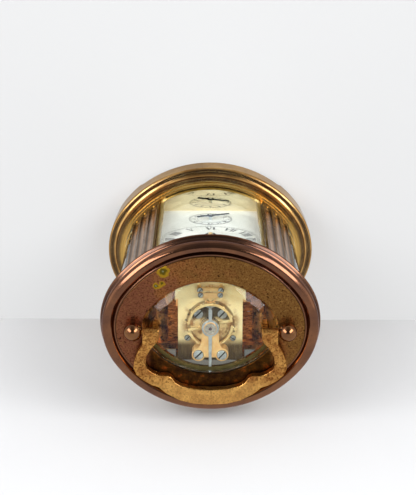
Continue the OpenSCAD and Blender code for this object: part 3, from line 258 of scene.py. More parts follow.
def mirrored(piece, name, x, y):
    """A mirror image with its own mesh, its faces turned outwards again."""
    new = copy_of(piece, name)
    new.scale = (-1 if x else 1, -1 if y else 1, 1)
    set_down(new)
    open_up(new)
    weld()
    close_up()
    return new


def fit(piece, finish, body, slot, *nodes):
    """Gives a piece its finish and the body it moves with, in place of nodes of the frame."""
    piece.data.materials.clear()
    piece.data.materials.append(finish)
    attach(piece, body)
    if nodes:
        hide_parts(*nodes)


def true_flats(piece):
    """Keeps the flat faces of an eased piece flat in the light, whatever their edges do."""
    apply_modifier(piece, "WEIGHTED_NORMAL", weight=90, keep_sharp=True)


def eased(node, name, width, segments=2, angle=35):
    """A copy of a node of the frame whose edges are eased by a small bevel."""
    piece = copy_of(frame["nodes"][node], name)
    hold(piece)
    bpy.ops.mesh.customdata_custom_splitnormals_clear()
    open_up(piece)
    weld(0.001)
    bpy.ops.mesh.dissolve_limited(angle_limit=math.radians(0.6))
    close_up()
    apply_bevel(piece, width, segments, angle)
    smooth(piece)
    true_flats(piece)
    return piece


def body_of(node):
    """The body that a node of the frame rides on."""
    bodies = frame["record"]["behaviour"]["bodies"]
    return next(body for body, members in bodies.items() if node in members)


def dress(node, name, width, finish, slot, segments=2, angle=35):
    """Puts an eased copy of a node of the frame, with a finish, in that node's place."""
    fit(eased(node, name, width, segments, angle), finishes[finish], body_of(node), slot, node)


def arc(x, z, r, start, end, steps=6):
    """Points on an arc of a profile, from one angle to another in degrees."""
    turns = [math.radians(start + (end - start) * i / steps) for i in range(steps + 1)]
    return [(x + r * math.cos(a), z + r * math.sin(a)) for a in turns]


def turn_oval(name, profile, closed=True):
    """Turns a profile once round the oval. Its points are (distance outside BODY_R, height)."""
    c, s = math.cos(math.radians(END_HALF)), math.sin(math.radians(END_HALF))
    points = [(END_X + (BODY_R + x) * c, -(BODY_R + x) * s, z) for x, z in profile]
    if closed:
        points.append(points[0])
    piece = draw_line(name, points)
    for angle, centre, steps in ((2 * END_HALF, (END_X, 0, 0), 30),
                                 (2 * LONG_HALF, (0, -LONG_Y, 0), 44),
                                 (2 * END_HALF, (-END_X, 0, 0), 30),
                                 (2 * LONG_HALF, (0, LONG_Y, 0), 44)):
        sweep(angle, centre, steps)
    weld()
    if not closed:
        bpy.ops.mesh.select_all(action="DESELECT")
        bpy.ops.mesh.select_non_manifold()
        bpy.ops.mesh.edge_face_add()
        weld()
    close_up()
    return piece


def turn_round(name, profile, place, steps):
    """Turns a profile of (radius, height) points once round a standing axis."""
    x, y, z = place
    piece = draw_line(name, [(x + r, y, z + h) for r, h in profile])
    sweep(360, place, steps)
    weld()
    close_up()
    return piece


# The finishes


def tint(red, green, blue):
    """A colour as it is seen, from 0 to 255, as the shader takes it."""
    return tuple(((c / 255 + 0.055) / 1.055) ** 2.4 if c > 10 else c / 255 / 12.92
                 for c in (red, green, blue)) + (1.0,)


class Finish:
    """A material under way: small helpers that add and join its nodes."""

    def __init__(self, name):
        self.material = bpy.data.materials.new(name)
        self.material.use_nodes = True
        self.tree = self.material.node_tree
        self.shader = self.tree.nodes["Principled BSDF"]
        self.place = self.add("TexCoord").outputs["Object"]

    def add(self, kind, inputs=None, **settings):
        """Adds a node, with each of these inputs set to a value or wired to an output."""
        node = self.tree.nodes.new("ShaderNode" + kind)
        for key, value in settings.items():
            setattr(node, key, value)
        for key, value in (inputs or {}).items():
            if isinstance(value, bpy.types.NodeSocket):
                self.wire(value, node.inputs[key])
            else:
                node.inputs[key].default_value = value
        return node

    def wire(self, output, socket):
        self.tree.links.new(output, socket)

    def noise(self, scale, detail=4.0, roughness=0.5, stretch=None):
        """Noise whose scale is in cells per metre. stretch scales it along each axis."""
        place = self.place
        if stretch:
            place = self.add("Mapping", {"Scale": stretch, "Vector": place}).outputs["Vector"]
        return self.add("TexNoise", {"Scale": scale, "Detail": detail, "Roughness": roughness,
                                     "Vector": place}).outputs["Fac"]

    def ramp(self, value, *stops):
        """Runs a value through a ramp of (position, brightness or colour) stops."""
        node = self.add("ValToRGB", {"Fac": value})
        ends = node.color_ramp.elements
        while len(ends) < len(stops):
            ends.new(0.5)
        for end, (position, colour) in zip(ends, stops):
            end.position = position
            end.color = colour if isinstance(colour, tuple) else (colour,) * 3 + (1,)
        return node.outputs["Color"]

    def blend(self, factor, first, second, mode="MIX"):
        """Mixes two colours. The numbered inputs are the factor and the two colours."""
        return self.add("Mix", {0: factor, 6: first, 7: second}, data_type="RGBA",
                        blend_type=mode).outputs[2]

    def lay(self, colour, where, strength, over):
        """Lays another colour over a colour, as strong as where times strength."""
        return self.blend(self.times(where, strength), colour, over)

    def math(self, operation, first, second=0.0):
        return self.add("Math", {0: first, 1: second}, operation=operation).outputs[0]

    def plus(self, first, second):
        return self.math("ADD", first, second)

    def minus(self, first, second):
        return self.math("SUBTRACT", first, second)

    def times(self, first, second):
        return self.math("MULTIPLY", first, second)

    def span(self, value, low_in, high_in, low_out=0.0, high_out=1.0):
        """Eases from one output to the other as a value goes from one input to the other."""
        return self.add("MapRange", {"Value": value, "From Min": low_in, "From Max": high_in,
                                     "To Min": low_out, "To Max": high_out},
                        interpolation_type="SMOOTHSTEP").outputs["Result"]

    def zone(self, value, start, end):
        """Eases from 0 to 1 as a length goes from start to end, both in mm."""
        return self.span(value, start * MM, end * MM)

    def axes(self):
        return self.add("SeparateXYZ", {"Vector": self.place}).outputs

    def mix(self, factor, first, second):
        """Mixes two shaders."""
        return self.add("MixShader", {"Fac": factor, 1: first, 2: second}).outputs["Shader"]

    def show(self, shader):
        """Makes a shader the one that the material shows."""
        self.wire(shader, self.tree.nodes["Material Output"].inputs["Surface"])

    def oval(self):
        """Radius of the oval that a spot lies on, in metres."""
        x, y, _ = self.axes()
        x, y = self.math("ABSOLUTE", x), self.math("ABSOLUTE", y)

        def reach(a, b):
            return self.math("SQRT", self.plus(self.times(a, a), self.times(b, b)))

        past = self.minus(x, END_X * MM)
        end = reach(past, y)
        long_arc = self.minus(reach(x, self.plus(y, LONG_Y * MM)), LONG_EXTRA * MM)
        at_end = self.math("GREATER_THAN", self.times(past, LONG_Y / END_X), y)
        return self.add("Mix", {0: at_end, 2: long_arc, 3: end}, data_type="FLOAT").outputs[0]

    def grooves(self, value, levels, width=0.32):
        """Is 1 where a value lies at one of the levels, both in mm, and 0 elsewhere."""
        first, last = levels[0] - 1, levels[-1] + 1
        uneven = self.times(self.minus(self.noise(300, 3), 0.5), 0.0002)
        place = self.add("MapRange", {"Value": self.plus(value, uneven),
                                      "From Min": first * MM, "From Max": last * MM})
        stops = [(0.0, 0.0)]
        for level in levels:
            at, half = (level - first) / (last - first), width / (last - first)
            stops += [(at - half, 0.0), (at, 1.0), (at + half, 0.0)]
        return self.ramp(place.outputs["Result"], *stops)

    def distance(self, point):
        """Distance of a spot from a point in mm, in metres."""
        return self.add("VectorMath", {0: self.place, 1: Vector(point) * MM},
                        operation="DISTANCE").outputs["Value"]

    def bump(self, height, strength, depth):
        """Raises the surface by a height map. depth is in mm."""
        node = self.add("Bump", {"Strength": strength, "Distance": depth * MM,
                                 "Height": height})
        normal = self.shader.inputs["Normal"]
        if normal.is_linked:
            self.wire(normal.links[0].from_socket, node.inputs["Normal"])
        self.wire(node.outputs["Normal"], normal)

    def colour(self, output):
        self.wire(output, self.shader.inputs["Base Color"])

    def over(self, where, strength, colour):
        """Lays a colour over the one that is there already."""
        below = self.shader.inputs["Base Color"].links[0].from_socket
        self.colour(self.lay(below, where, strength, colour))

    def roughness(self, output):
        self.wire(output, self.shader.inputs["Roughness"])

    def set(self, **sockets):
        for key, value in sockets.items():
            self.shader.inputs[key.replace("_", " ")].default_value = value


def metal(name, clean, tarnish, spots, cloud=90, speckle=900, spotted=0.62,
          gloss=(0.18, 0.4), pits=0.25, grain=None, groove_grime_and_shade=None, levels=(), lacquer=0.0,
          satin=0.0):
    """Worn metal: clean colour, clouds of tarnish and fine dark spots, which are also duller.

    The dark colour given for grooves lies at the heights of levels, in mm: partly dust, partly
    painted shade."""
    f = Finish(name)
    where = f.ramp(f.noise(cloud, 6, 0.62), (0.38, 0.0), (0.64, 1.0))
    fine = f.noise(speckle, 5, 0.65)
    spot = f.ramp(fine, (spotted, 0.0), (spotted + 0.08, 1.0))
    colour = f.lay(f.blend(where, clean, tarnish), spot, 0.75, spots)
    streak = f.noise(speckle * 2.5, 3, 0.5, grain or (1, 1, 1))
    colour = f.blend(f.times(streak, 0.35), colour, (0.5, 0.5, 0.5, 1), "OVERLAY")
    dull = f.plus(where, f.times(spot, 0.5))
    # painted shade, with dust: the grooves at the given heights are darkened
    if levels:
        dirt = f.grooves(f.axes()["Z"], levels)
        colour = f.lay(colour, dirt, 0.9, groove_grime_and_shade)
        dull = f.plus(dull, dirt)
    f.colour(colour)
    f.roughness(f.span(dull, 0, 1.5, *gloss))
    f.bump(fine, pits, 0.03)
    f.bump(streak, pits * 0.6, 0.008)
    f.set(Metallic=1 - satin, Specular_Tint=tuple(c ** 0.45 for c in clean),
          Coat_Weight=lacquer, Coat_Roughness=0.12)
    return f


def glass(name, colour, calm, edge=None, reflected_metal_colour=None):
    """Clear glass that lets lamp light through. calm is the share without any mirror image.

    edge(f) may say where, from 0 to 1, the glass shows a painted reflection of the metal at its edge."""
    f = Finish(name)
    f.set(Base_Color=colour, IOR=1.5, Transmission_Weight=1.0, Roughness=0.0)
    f.roughness(f.span(f.noise(70, 3, 0.5), 0.45, 0.8, 0.0, 0.02))
    quiet = f.add("BsdfRefraction", {"Color": colour, "IOR": 1.5, "Roughness": 0.0})
    body = f.mix(calm, f.shader.outputs["BSDF"], quiet.outputs["BSDF"])
    # painted reflection: a metallic shader where the glass's edge shows the brass
    if edge:
        darker = tuple(c * 0.5 for c in reflected_metal_colour[:3]) + (1,)
        tone = f.ramp(f.noise(300, 4, 0.6), (0.35, reflected_metal_colour), (0.7, darker))
        metallic = f.add("BsdfPrincipled", {"Metallic": 0.6, "Roughness": 0.35,
                                            "Base Color": tone})
        body = f.mix(f.times(edge(f), 0.8), body, metallic.outputs["BSDF"])
    clear = f.add("BsdfTransparent", {"Color": (0.985, 0.99, 0.985, 1)})
    f.show(f.mix(f.add("LightPath").outputs["Is Shadow Ray"], body, clear.outputs["BSDF"]))
    return f


finishes = {}


def make_finishes(looks):
    """Makes every finish once."""
    brass, bronze = tuple(looks.brass) + (1,), tuple(looks.bronze) + (1,)
    base = metal("base_brass_worn", brass, tint(158, 112, 52), tint(66, 44, 14), cloud=70,
                 speckle=2000, spotted=0.6, gloss=(0.1, 0.26), pits=0.14,
                 groove_grime_and_shade=tint(40, 24, 4), levels=BASE_GROOVES, lacquer=0.5)
    # painted highlight: paler gold on the base's innermost reeds and ledge, by the oval's radius
    base.over(base.zone(base.oval(), BODY_R + 2.4, BODY_R + 1.2), 0.7, tint(214, 172, 88))
    handle = metal("handle_pitted_brass", tint(208, 154, 82), tint(146, 92, 46),
                   tint(86, 44, 16), cloud=220, speckle=1300, spotted=0.5, gloss=(0.26, 0.44),
                   pits=0.7)
    # painted highlight: the grip, from 19 to 25 mm out along y, is paler
    handle.over(handle.zone(handle.axes()["Y"], 19, 25), 0.24, tint(255, 206, 120))
    # the heavy tarnish and dark spots are partly painted shade of the case's inside; the back plate's
    # outer face gets clean pale gilt
    movement = metal("movement_gilt", tint(240, 178, 100), tint(132, 72, 34), tint(30, 14, 6),
                     cloud=260, speckle=620, spotted=0.52, gloss=(0.45, 0.75), pits=0.35)
    movement.set(Specular_Tint=tint(220, 160, 100))
    movement.over(movement.zone(movement.axes()["Y"], PLATE_BACK - 0.5, PLATE_BACK - 0.2), 0.8,
                  tint(226, 184, 116))
    gilding = dict(clean=tint(253, 238, 200), tarnish=tint(247, 228, 184),
                   spots=tint(206, 172, 104), cloud=40, speckle=600, spotted=0.76,
                   gloss=(0.01, 0.04), pits=0.01)
    clear = (0.97, 0.99, 0.96, 1)
    made = {
        "base brass": base,
        "ledge": metal("base_ledge_gilt", **gilding),
        "gilt floor": metal("polished_gilt_plate", **gilding),
        "bronze": metal("cornice_bronze", bronze, tint(92, 54, 34), tint(44, 24, 12), cloud=60,
                        speckle=1900, spotted=0.6, gloss=(0.09, 0.2), pits=0.12,
                        groove_grime_and_shade=tint(40, 20, 10), levels=CORNICE_GROOVES, lacquer=0.6),
        "handle": handle,
        "ball": metal("ball_brass", tint(140, 92, 44), tint(104, 62, 28), tint(60, 30, 12),
                      cloud=120, speckle=1800, spotted=0.66, gloss=(0.05, 0.13), pits=0.05,
                      lacquer=0.6),
        "movement": movement,
        "steel": metal("screw_steel", tint(214, 222, 226), tint(172, 182, 190),
                       tint(70, 60, 50), cloud=500, speckle=3000, spotted=0.66,
                       gloss=(0.3, 0.42), pits=0.1, lacquer=0.6, satin=0.3),
        "blued steel": metal("blued_steel", tint(74, 88, 110), tint(48, 60, 84),
                             tint(40, 40, 50), cloud=400, speckle=2500, spotted=0.72,
                             gloss=(0.15, 0.3), pits=0.08),
        "spring steel": metal("spring_steel", tint(90, 110, 150), tint(70, 86, 120),
                              tint(40, 44, 60), cloud=500, speckle=3000, spotted=0.74,
                              gloss=(0.2, 0.3), pits=0.05),
        "bell": metal("bell_metal", tint(226, 200, 150), tint(190, 156, 100),
                      tint(130, 96, 56), cloud=90, speckle=1200, spotted=0.68,
                      gloss=(0.12, 0.25), pits=0.08),
        "cock": metal("cock_gilt", tint(246, 210, 150), tint(238, 188, 124),
                      tint(196, 120, 64), cloud=260, speckle=2600, spotted=0.62,
                      gloss=(0.3, 0.45), pits=0.25, grain=(0.2, 1, 1), satin=0.5),
        "balance": metal("balance_gold", tint(255, 232, 176), tint(246, 206, 134),
                         tint(150, 96, 40), cloud=400, speckle=2600, spotted=0.7,
                         gloss=(0.16, 0.32), pits=0.1, lacquer=0.4, satin=0.5),
        "dirt": dirt_finish(), "cap": cap_finish(), "jewel": jewel_finish(),
        "top plate": top_plate_finish(), "pilaster": pilaster_finish(),
        "platform": platform_finish(), "enamel": enamel_finish(), "print": print_finish(),
        "glass": glass("case_glass", clear, 0.1),
        "front glass": glass("front_glass", clear, 0.6, front_glass_edge, tint(176, 150, 70)),
        "top glass": glass("top_window_glass", (0.98, 0.99, 0.95, 1), 0.5, top_glass_edge,
                           tint(122, 114, 70)),
    }
    finishes.update((key, finish.material) for key, finish in made.items())


def front_glass_edge(f):
    """Where the front glass shows a painted reflection of the brass: both upright edges, and its
    foot.
    """
    return f.math("MAXIMUM", f.zone(f.math("ABSOLUTE", f.axes()["X"]), 20.9, 21.4),
                  f.zone(f.axes()["Z"], FLOOR_Z + 2.4, FLOOR_Z + 1.4))


def top_glass_edge(f):
    """Where the top glass shows a painted reflection of the metal: the outer part of its bevel, on
    the side of the door.
    """
    inner = WINDOW_R - BEVEL_W
    bevel = f.times(f.zone(f.oval(), inner + 0.3, inner + 0.6),
                    f.zone(f.oval(), WINDOW_R - 0.4, WINDOW_R - 1.2))
    return f.times(f.zone(f.axes()["Y"], 2, 6), bevel)


def top_plate_finish():
    """Stained bronze, redder to one side, golden to the other, with painted shade under the handle
    and at the outer edge.
    """
    f = Finish("top_plate_stained_bronze")
    x, y, _ = f.axes()
    clouds = f.noise(60, 6, 0.62)
    side = f.span(f.plus(x, f.times(y, 0.5)), -0.034, 0.02)
    gold = f.minus(f.plus(clouds, 0.2), f.times(side, 0.42))
    colour = f.ramp(gold, (0.3, tint(124, 76, 54)), (0.46, tint(140, 90, 50)),
                    (0.62, tint(122, 86, 44)))
    grain = f.noise(1500, 4, 0.65)
    colour = f.blend(f.ramp(grain, (0.48, 0.0), (0.62, 0.8)), colour, tint(72, 38, 20))
    fine = f.noise(1250, 5, 0.7)
    bright = f.times(f.ramp(fine, (0.54, 0.0), (0.66, 0.6)), f.span(side, 1.2, 0.2, 0.3, 0.8))
    colour = f.blend(bright, colour, tint(176, 134, 74))
    pits = f.noise(760, 3, 0.55)
    colour = f.blend(f.ramp(pits, (0.62, 0.0), (0.7, 0.9)), colour, tint(34, 18, 10))
    # painted shade: very dark, mottled, under the handle's loop
    under_handle_shade = f.times(f.zone(y, 6, 11), f.times(f.zone(y, 29, 26.5),
                                               f.zone(f.math("ABSOLUTE", x), 26.5, 23.5)))
    handle_shade_colour = f.ramp(f.noise(320, 4, 0.7), (0.42, tint(30, 14, 4)), (0.58, tint(66, 40, 10)),
                   (0.72, tint(150, 70, 24)))
    colour = f.lay(colour, under_handle_shade, 0.93, handle_shade_colour)
    # painted shade: darker at the plate's outer edge, in the crease against the cornice
    colour = f.lay(colour, f.zone(f.oval(), TOP_R - 0.5, TOP_R - 0.1), 0.8, tint(58, 40, 14))
    uneven = f.times(f.minus(f.noise(420, 4, 0.7), 0.5), 0.0036)
    for place, size in STAINS:
        away = f.plus(f.distance(place + (TOP_Z,)), uneven)
        for outer, inner, strength, stain in ((1, 0.8, 0.85, tint(164, 130, 30)),
                                              (0.62, 0.36, 0.85, tint(70, 66, 22)),
                                              (0.16, 0, 0.55, tint(150, 156, 120))):
            colour = f.lay(colour, f.zone(away, size * outer, size * inner), strength, stain)
    f.colour(colour)
    f.roughness(f.span(clouds, 0.3, 0.7, 0.3, 0.46))
    f.bump(fine, 0.3, 0.02)
    f.bump(grain, 0.2, 0.012)
    f.set(Metallic=1.0)
    return f


def pilaster_finish():
    """One brass in two painted tones: a paler greyish pink sheen in the flutes, darker dull gold on
    the lands between them, and painted shade on the flutes' walls.
    """
    f = Finish("pilaster_brass")
    radius = f.oval()
    land = f.zone(radius, BODY_R - 0.4, BODY_R - 0.1)
    clouds = f.noise(80, 6, 0.65, (1, 1, 0.35))
    # painted sheen: the flutes' paler colour
    flute = f.ramp(clouds, (0.35, tint(196, 152, 112)), (0.6, tint(168, 126, 84)),
                   (0.75, tint(132, 92, 46)))
    flute = f.lay(flute, f.zone(f.axes()["Z"], 46, 26), 0.7, tint(214, 160, 72))
    # painted shade on the flutes' walls, beside the lands
    side = f.times(f.zone(radius, BODY_R - 1.1, BODY_R - 0.6),
                   f.zone(radius, BODY_R - 0.1, BODY_R - 0.35))
    flute = f.lay(flute, side, 0.85, tint(58, 36, 8))
    # painted shade: the lands' darker gold
    face = f.ramp(clouds, (0.35, tint(150, 106, 40)), (0.65, tint(96, 62, 18)))
    fine = f.noise(1900, 5, 0.7)
    f.colour(f.blend(f.ramp(fine, (0.56, 0.0), (0.7, 0.7)), f.blend(land, flute, face),
                     tint(54, 36, 18)))
    f.roughness(f.span(clouds, 0.3, 0.7, 0.14, 0.3))
    f.bump(fine, 0.15, 0.015)
    f.set(Metallic=1.0)
    return f


def platform_finish():
    """Pale satin gilding, dark towards the back edge, with painted shade under the balance and a
    painted shadow ring under its rim.
    """
    f = Finish("platform_satin_gilt")
    y = f.axes()["Y"]
    back = f.zone(f.plus(y, f.times(f.noise(260, 4), 0.0012)), 8.4, 12.4)
    grain = f.noise(1800, 4, 0.6, (1, 0.12, 1))
    pale = f.ramp(f.noise(120, 5, 0.6), (0.35, tint(255, 238, 188)), (0.7, tint(246, 218, 154)))
    dark = f.ramp(grain, (0.35, tint(84, 66, 42)), (0.7, tint(122, 100, 66)))
    middle = f.distance((0, BALANCE_Y, PLATFORM_Z))
    # painted shade: dimmer round and under the balance
    balance_shade = f.times(f.zone(middle, 13, 9.6), f.span(f.noise(230, 3, 0.6), 0.46, 0.6))
    pale = f.lay(pale, balance_shade, 0.75, tint(150, 92, 34))
    # painted shadow: a dark ring under the balance's rim
    rim = f.times(f.zone(middle, 10.3, 9.7), f.zone(middle, 8.0, 8.5))
    pale = f.lay(pale, rim, 0.7, tint(96, 62, 22))
    # painted shade under the balance's front half
    front = f.zone(f.plus(y, f.times(f.noise(200, 3), 0.006)), 4.5, 2)
    pale = f.lay(pale, f.times(f.zone(middle, 9.1, 8.2), front), 0.94, tint(46, 32, 16))
    colour = f.blend(back, pale, dark)
    for x, across in MARKS:
        mark = f.zone(f.distance((x, across, PLATFORM_Z)), 0.55, 0.3)
        colour = f.lay(colour, mark, 0.8, tint(36, 26, 14))
    f.colour(colour)
    f.roughness(f.plus(f.times(grain, 0.12), 0.4))
    f.bump(grain, 0.2, 0.01)
    f.set(Metallic=0.2)
    return f


def cap_finish():
    """Grey steel with the fine rings of the lathe."""
    f = Finish("end_cap_steel")
    away = f.distance((0, BALANCE_Y, CAP_Z))
    rings = f.math("SINE", f.times(away, 2 * math.pi / (0.42 * MM)))
    shade = f.span(f.plus(f.times(rings, 0.35), f.noise(900, 3)), 0.1, 0.9)
    f.colour(f.ramp(shade, (0.2, tint(142, 134, 122)), (0.8, tint(208, 204, 196))))
    f.roughness(f.span(shade, 0, 1, 0.2, 0.36))
    f.bump(rings, 0.25, 0.01)
    f.set(Metallic=0.6)
    return f


def dirt_finish():
    """Near black, for the screws' slots and for a painted shadow ring under their heads."""
    f = Finish("slot_dark_and_shadow_ring")
    f.colour(f.ramp(f.noise(3000, 3), (0.3, tint(20, 16, 12)), (0.7, tint(44, 36, 28))))
    f.roughness(f.span(f.noise(2600, 3), 0.3, 0.7, 0.55, 0.85))
    f.bump(f.noise(4000, 3), 0.2, 0.01)
    return f


def jewel_finish():
    """Dark purple-red stone, polished."""
    f = Finish("jewel_purple")
    f.colour(f.ramp(f.noise(900, 2), (0.3, tint(44, 16, 42)), (0.7, tint(78, 28, 70))))
    f.roughness(f.span(f.noise(1200, 2), 0.3, 0.7, 0.03, 0.1))
    f.set(Coat_Weight=1.0, Coat_Roughness=0.03)
    return f


def enamel_finish():
    """White vitreous enamel, faintly blue, with the slight waves of a fired surface."""
    f = Finish("white_enamel")
    f.colour(f.ramp(f.noise(60, 3), (0.3, tint(246, 249, 251)), (0.7, tint(250, 252, 253))))
    f.roughness(f.span(f.noise(140, 3), 0.3, 0.7, 0.12, 0.2))
    f.bump(f.noise(110, 2), 0.06, 0.05)
    f.set(Coat_Weight=0.5, Coat_Roughness=0.05)
    return f


def print_finish():
    """Fired dark blue-grey print."""
    f = Finish("dial_print")
    f.colour(f.ramp(f.noise(1500, 3), (0.3, tint(14, 18, 32)), (0.7, tint(30, 36, 54))))
    f.roughness(f.span(f.noise(900, 3), 0.3, 0.7, 0.3, 0.5))
    return f


# The pieces


def cornice_profile():
    """Section of the cornice: three reeds, lip, second reed, torus and fillet."""
    low_z, high_z = CORNICE_Z, TOP_Z - 16
    points = [(-4, low_z), (0.2, low_z), (0.2, low_z + 0.8)]
    for i in range(3):
        points += arc(1.0 + 0.9 * i, low_z + 1.2 + 0.8 * i, 0.5, -110, 60, 6)
    points += [(3.35, low_z + 3.3), (3.5, low_z + 3.8)]
    points += arc(3.6, high_z + 7, 0.9, -75, 68, 8)
    points += arc(2.9, high_z + 8.7, 0.6, -62, 62, 5)
    points += [(2.4, high_z + 9.4), (2.24, high_z + 10.2)]
    points += arc(0.9, high_z + 12.9, 2.6, -56, 150, 22)
    points += [(-1.52, high_z + 14.35), (-1.58, high_z + 15.3), (-1.68, high_z + 15.4),
               (-2.12, high_z + 15.4), (-2.2, high_z + 15.3), (-2.2, TOP_Z - 3),
               (-5.5, TOP_Z - 3), (-5.5, TOP_Z - 5), (-4, TOP_Z - 6)]
    return points


def base_profile():
    """Section of the base: plinth, bead, cove, three reeds and the ledge of the floor."""
    points = [(4, 0), (4.1, 0), (6.85, 0), (7, 0.15), (7, 14.0), (6.85, 14.2), (6.45, 14.2)]
    points += arc(5.9, 15.4, 1.4, -57, 100, 12)
    points += arc(5.5, 18.7, 2.0, 268, 182, 8)
    points += [(3.5, 18.78)]
    for i in range(3):
        points += arc(2.9 - i, 19.2 + 0.8 * i, 0.55, -50, 50, 5)
    points += [(1.28, 21.2), (0.3, 21.2), (0.2, 21.3), (0.2, FLOOR_Z),
               (GLASS_OUT - BODY_R, FLOOR_Z), (-4, FLOOR_Z),
               (-4, FLOOR_Z - 3), (-5.6, FLOOR_Z - 3), (-5.6, FLOOR_Z - 5), (2, FLOOR_Z - 5),
               (4, FLOOR_Z - 8)]
    return points


def apron_outline(half, rise=3.0, end=2.5, crown=1.4):
    """Outline of the arched cut between two feet, as (across, up) points."""
    left = [(-half + end * (1 - math.cos(math.radians(a))), rise * math.sin(math.radians(a)))
            for a in range(0, 91, 15)]
    top = [(t * (half - end), rise + crown * (1 - t * t))
           for t in (-0.8, -0.6, -0.4, -0.2, 0, 0.2, 0.4, 0.6, 0.8)]
    right = [(-x, z) for x, z in reversed(left)]
    return [(half, -2), (-half, -2)] + left + top + right


def oval_radius(x, y):
    """Radius of the oval that a point lies on."""
    x, y = abs(x), abs(y)
    if (x - END_X) * LONG_Y > y * END_X:
        return math.hypot(x - END_X, y)
    return math.hypot(x, y + LONG_Y) - LONG_EXTRA


def make_base():
    base = turn_oval("base_moulded", base_profile())
    for half, sideways in APRONS:
        flat = [(-CUTTER_REACH, x, z) if sideways else (x, -CUTTER_REACH, z)
                for x, z in apron_outline(half)]
        cutter = draw_line("apron_cutter", flat + flat[:1])
        bpy.ops.mesh.remove_doubles(threshold=0.01 * MM)
        bpy.ops.mesh.edge_face_add()
        length = 2 * CUTTER_REACH * MM
        out = (length, 0, 0) if sideways else (0, length, 0)
        bpy.ops.mesh.extrude_region_move(TRANSFORM_OT_translate={"value": out})
        weld()
        close_up()
        cut(base, cutter)
    smooth(base, 32)
    for v in base.data.vertices:
        v.co.x *= BASE_INSIDE
    fit(base, finishes["base brass"], "case", "base_brass", "base_plinth")
    base.data.materials.append(finishes["ledge"])
    for face in base.data.polygons:
        x, y, z = face.center / MM
        face.material_index = int(abs(z - FLOOR_Z) < 0.02
                                  and oval_radius(x, y) < GLASS_OUT + 0.1)


def make_cornice():
    cornice = turn_oval("cornice_moulded", cornice_profile())
    smooth(cornice, 38)
    fit(cornice, finishes["bronze"], "case", "bronze", "cornice")


def make_top_plate():
    edge = TOP_R - BODY_R - 0.05
    window = WINDOW_R - BODY_R
    under = WINDOW_R + 1.25 - BODY_R
    profile = [(under, TOP_Z - 3), (edge, TOP_Z - 3), (edge, TOP_Z - 0.3)]
    profile += arc(edge - 0.3, TOP_Z - 0.3, 0.3, 0, 90, 4)
    profile += arc(window + 0.35, TOP_Z - 0.35, 0.35, 90, 180, 4)
    profile += [(window, TOP_Z - 2), (under, TOP_Z - 2)]
    plate = turn_oval("top_plate_oval", profile)
    smooth(plate)
    fit(plate, finishes["top plate"], "case", "stained_bronze", "top_plate")


def make_top_glass():
    """Window glass with a flat bevel all round and a flange under the plate."""
    flange = WINDOW_R + 1.2 - BODY_R
    edge = WINDOW_R - 0.05 - BODY_R
    flat = WINDOW_R - BEVEL_W - 0.6 - BODY_R
    bottom = TOP_Z - 3
    profile = [(flat, bottom), (flange, bottom), (flange, bottom + 0.95),
               (edge, bottom + 0.95), (edge - 0.05, bottom + 1.0),
               (flat + 0.06, TOP_Z - 0.32), (flat, TOP_Z - 0.3)]
    pane = turn_oval("top_glass_bevelled", profile, closed=False)
    smooth(pane, 8)
    fit(pane, finishes["top glass"], "case", "glass", "top_glass")


def bowed_pane(name, centre, r, half, facing):
    """A bowed glass with a bevel round its outside. facing is the angle of its middle."""
    inner, thin, out = r - GLASS_T + 0.1, r - GLASS_T + 0.1 + GLASS_EDGE, r - 0.1
    z0, z1 = FLOOR_Z - 0.9, CORNICE_Z + 0.9
    low_bevel, high_bevel = FLOOR_Z + BEVEL_W, CORNICE_Z - BEVEL_W
    profile = [(inner, z0), (thin, z0), (thin, FLOOR_Z + 0.4), (out, low_bevel),
               (out, high_bevel), (thin, CORNICE_Z - 0.4), (thin, z1), (inner, z1)]
    start = math.radians(facing - half)
    c, s = math.cos(start), math.sin(start)
    points = [(centre[0] + p * c, centre[1] + p * s, z) for p, z in profile]
    pane = draw_line(name, points + points[:1])
    corner = math.degrees(BEVEL_W / r)
    for angle, steps in ((corner, 2), (2 * (half - corner), 26), (corner, 2)):
        sweep(angle, centre + (0,), steps)
    bpy.ops.mesh.select_all(action="SELECT")
    bpy.ops.mesh.remove_doubles(threshold=WELD_GAP * MM)
    close_up()
    for side in (-1, 1):
        edge = facing + side * half
        out_dir = Vector((math.cos(math.radians(edge)), math.sin(math.radians(edge)), 0))
        for share in (0, 0.5):
            at = math.radians(edge - side * corner * share)
            near = Vector((math.cos(at), math.sin(at), 0)) * out + Vector(centre + (0,))
            pick(pane, lambda v: (v.xy - near.xy).length < 0.02)
            bpy.ops.transform.translate(value=-out_dir * (out - thin) * (1 - share) * MM)
            close_up()
        middle = out_dir * (inner + thin) / 2 + Vector(centre + (0,))
        pick(pane, lambda v: abs((v.xy - middle.xy).dot(
            Vector((-out_dir.y, out_dir.x)))) < 0.05 and (v.xy - middle.xy).length < 3)
        bpy.ops.mesh.edge_face_add()
        close_up()
    open_up(pane)
    weld()
    close_up()
    smooth(pane, 9)
    return pane


def make_glasses():
    gap = math.degrees(GLASS_GAP / FACE_R)
    front = bowed_pane("front_glass_bevelled", (0, LONG_Y), GLASS_OUT + LONG_EXTRA,
                       FRONT_HALF - gap, 270)
    fit(front, finishes["front glass"], "case", "glass", "front_glass")
    side_gap = math.degrees(GLASS_GAP / BODY_R)
    for name, x, facing in (("right", END_X, 0), ("left", -END_X, 180)):
        side = bowed_pane(f"{name}_glass_bevelled", (x, 0), GLASS_OUT, END_HALF - side_gap,
                          facing)
        fit(side, finishes["glass"], "case", "glass", f"{name}_glass")
    dress("door_glass", "door_glass_pane", 0.1, "glass", "glass", 1)


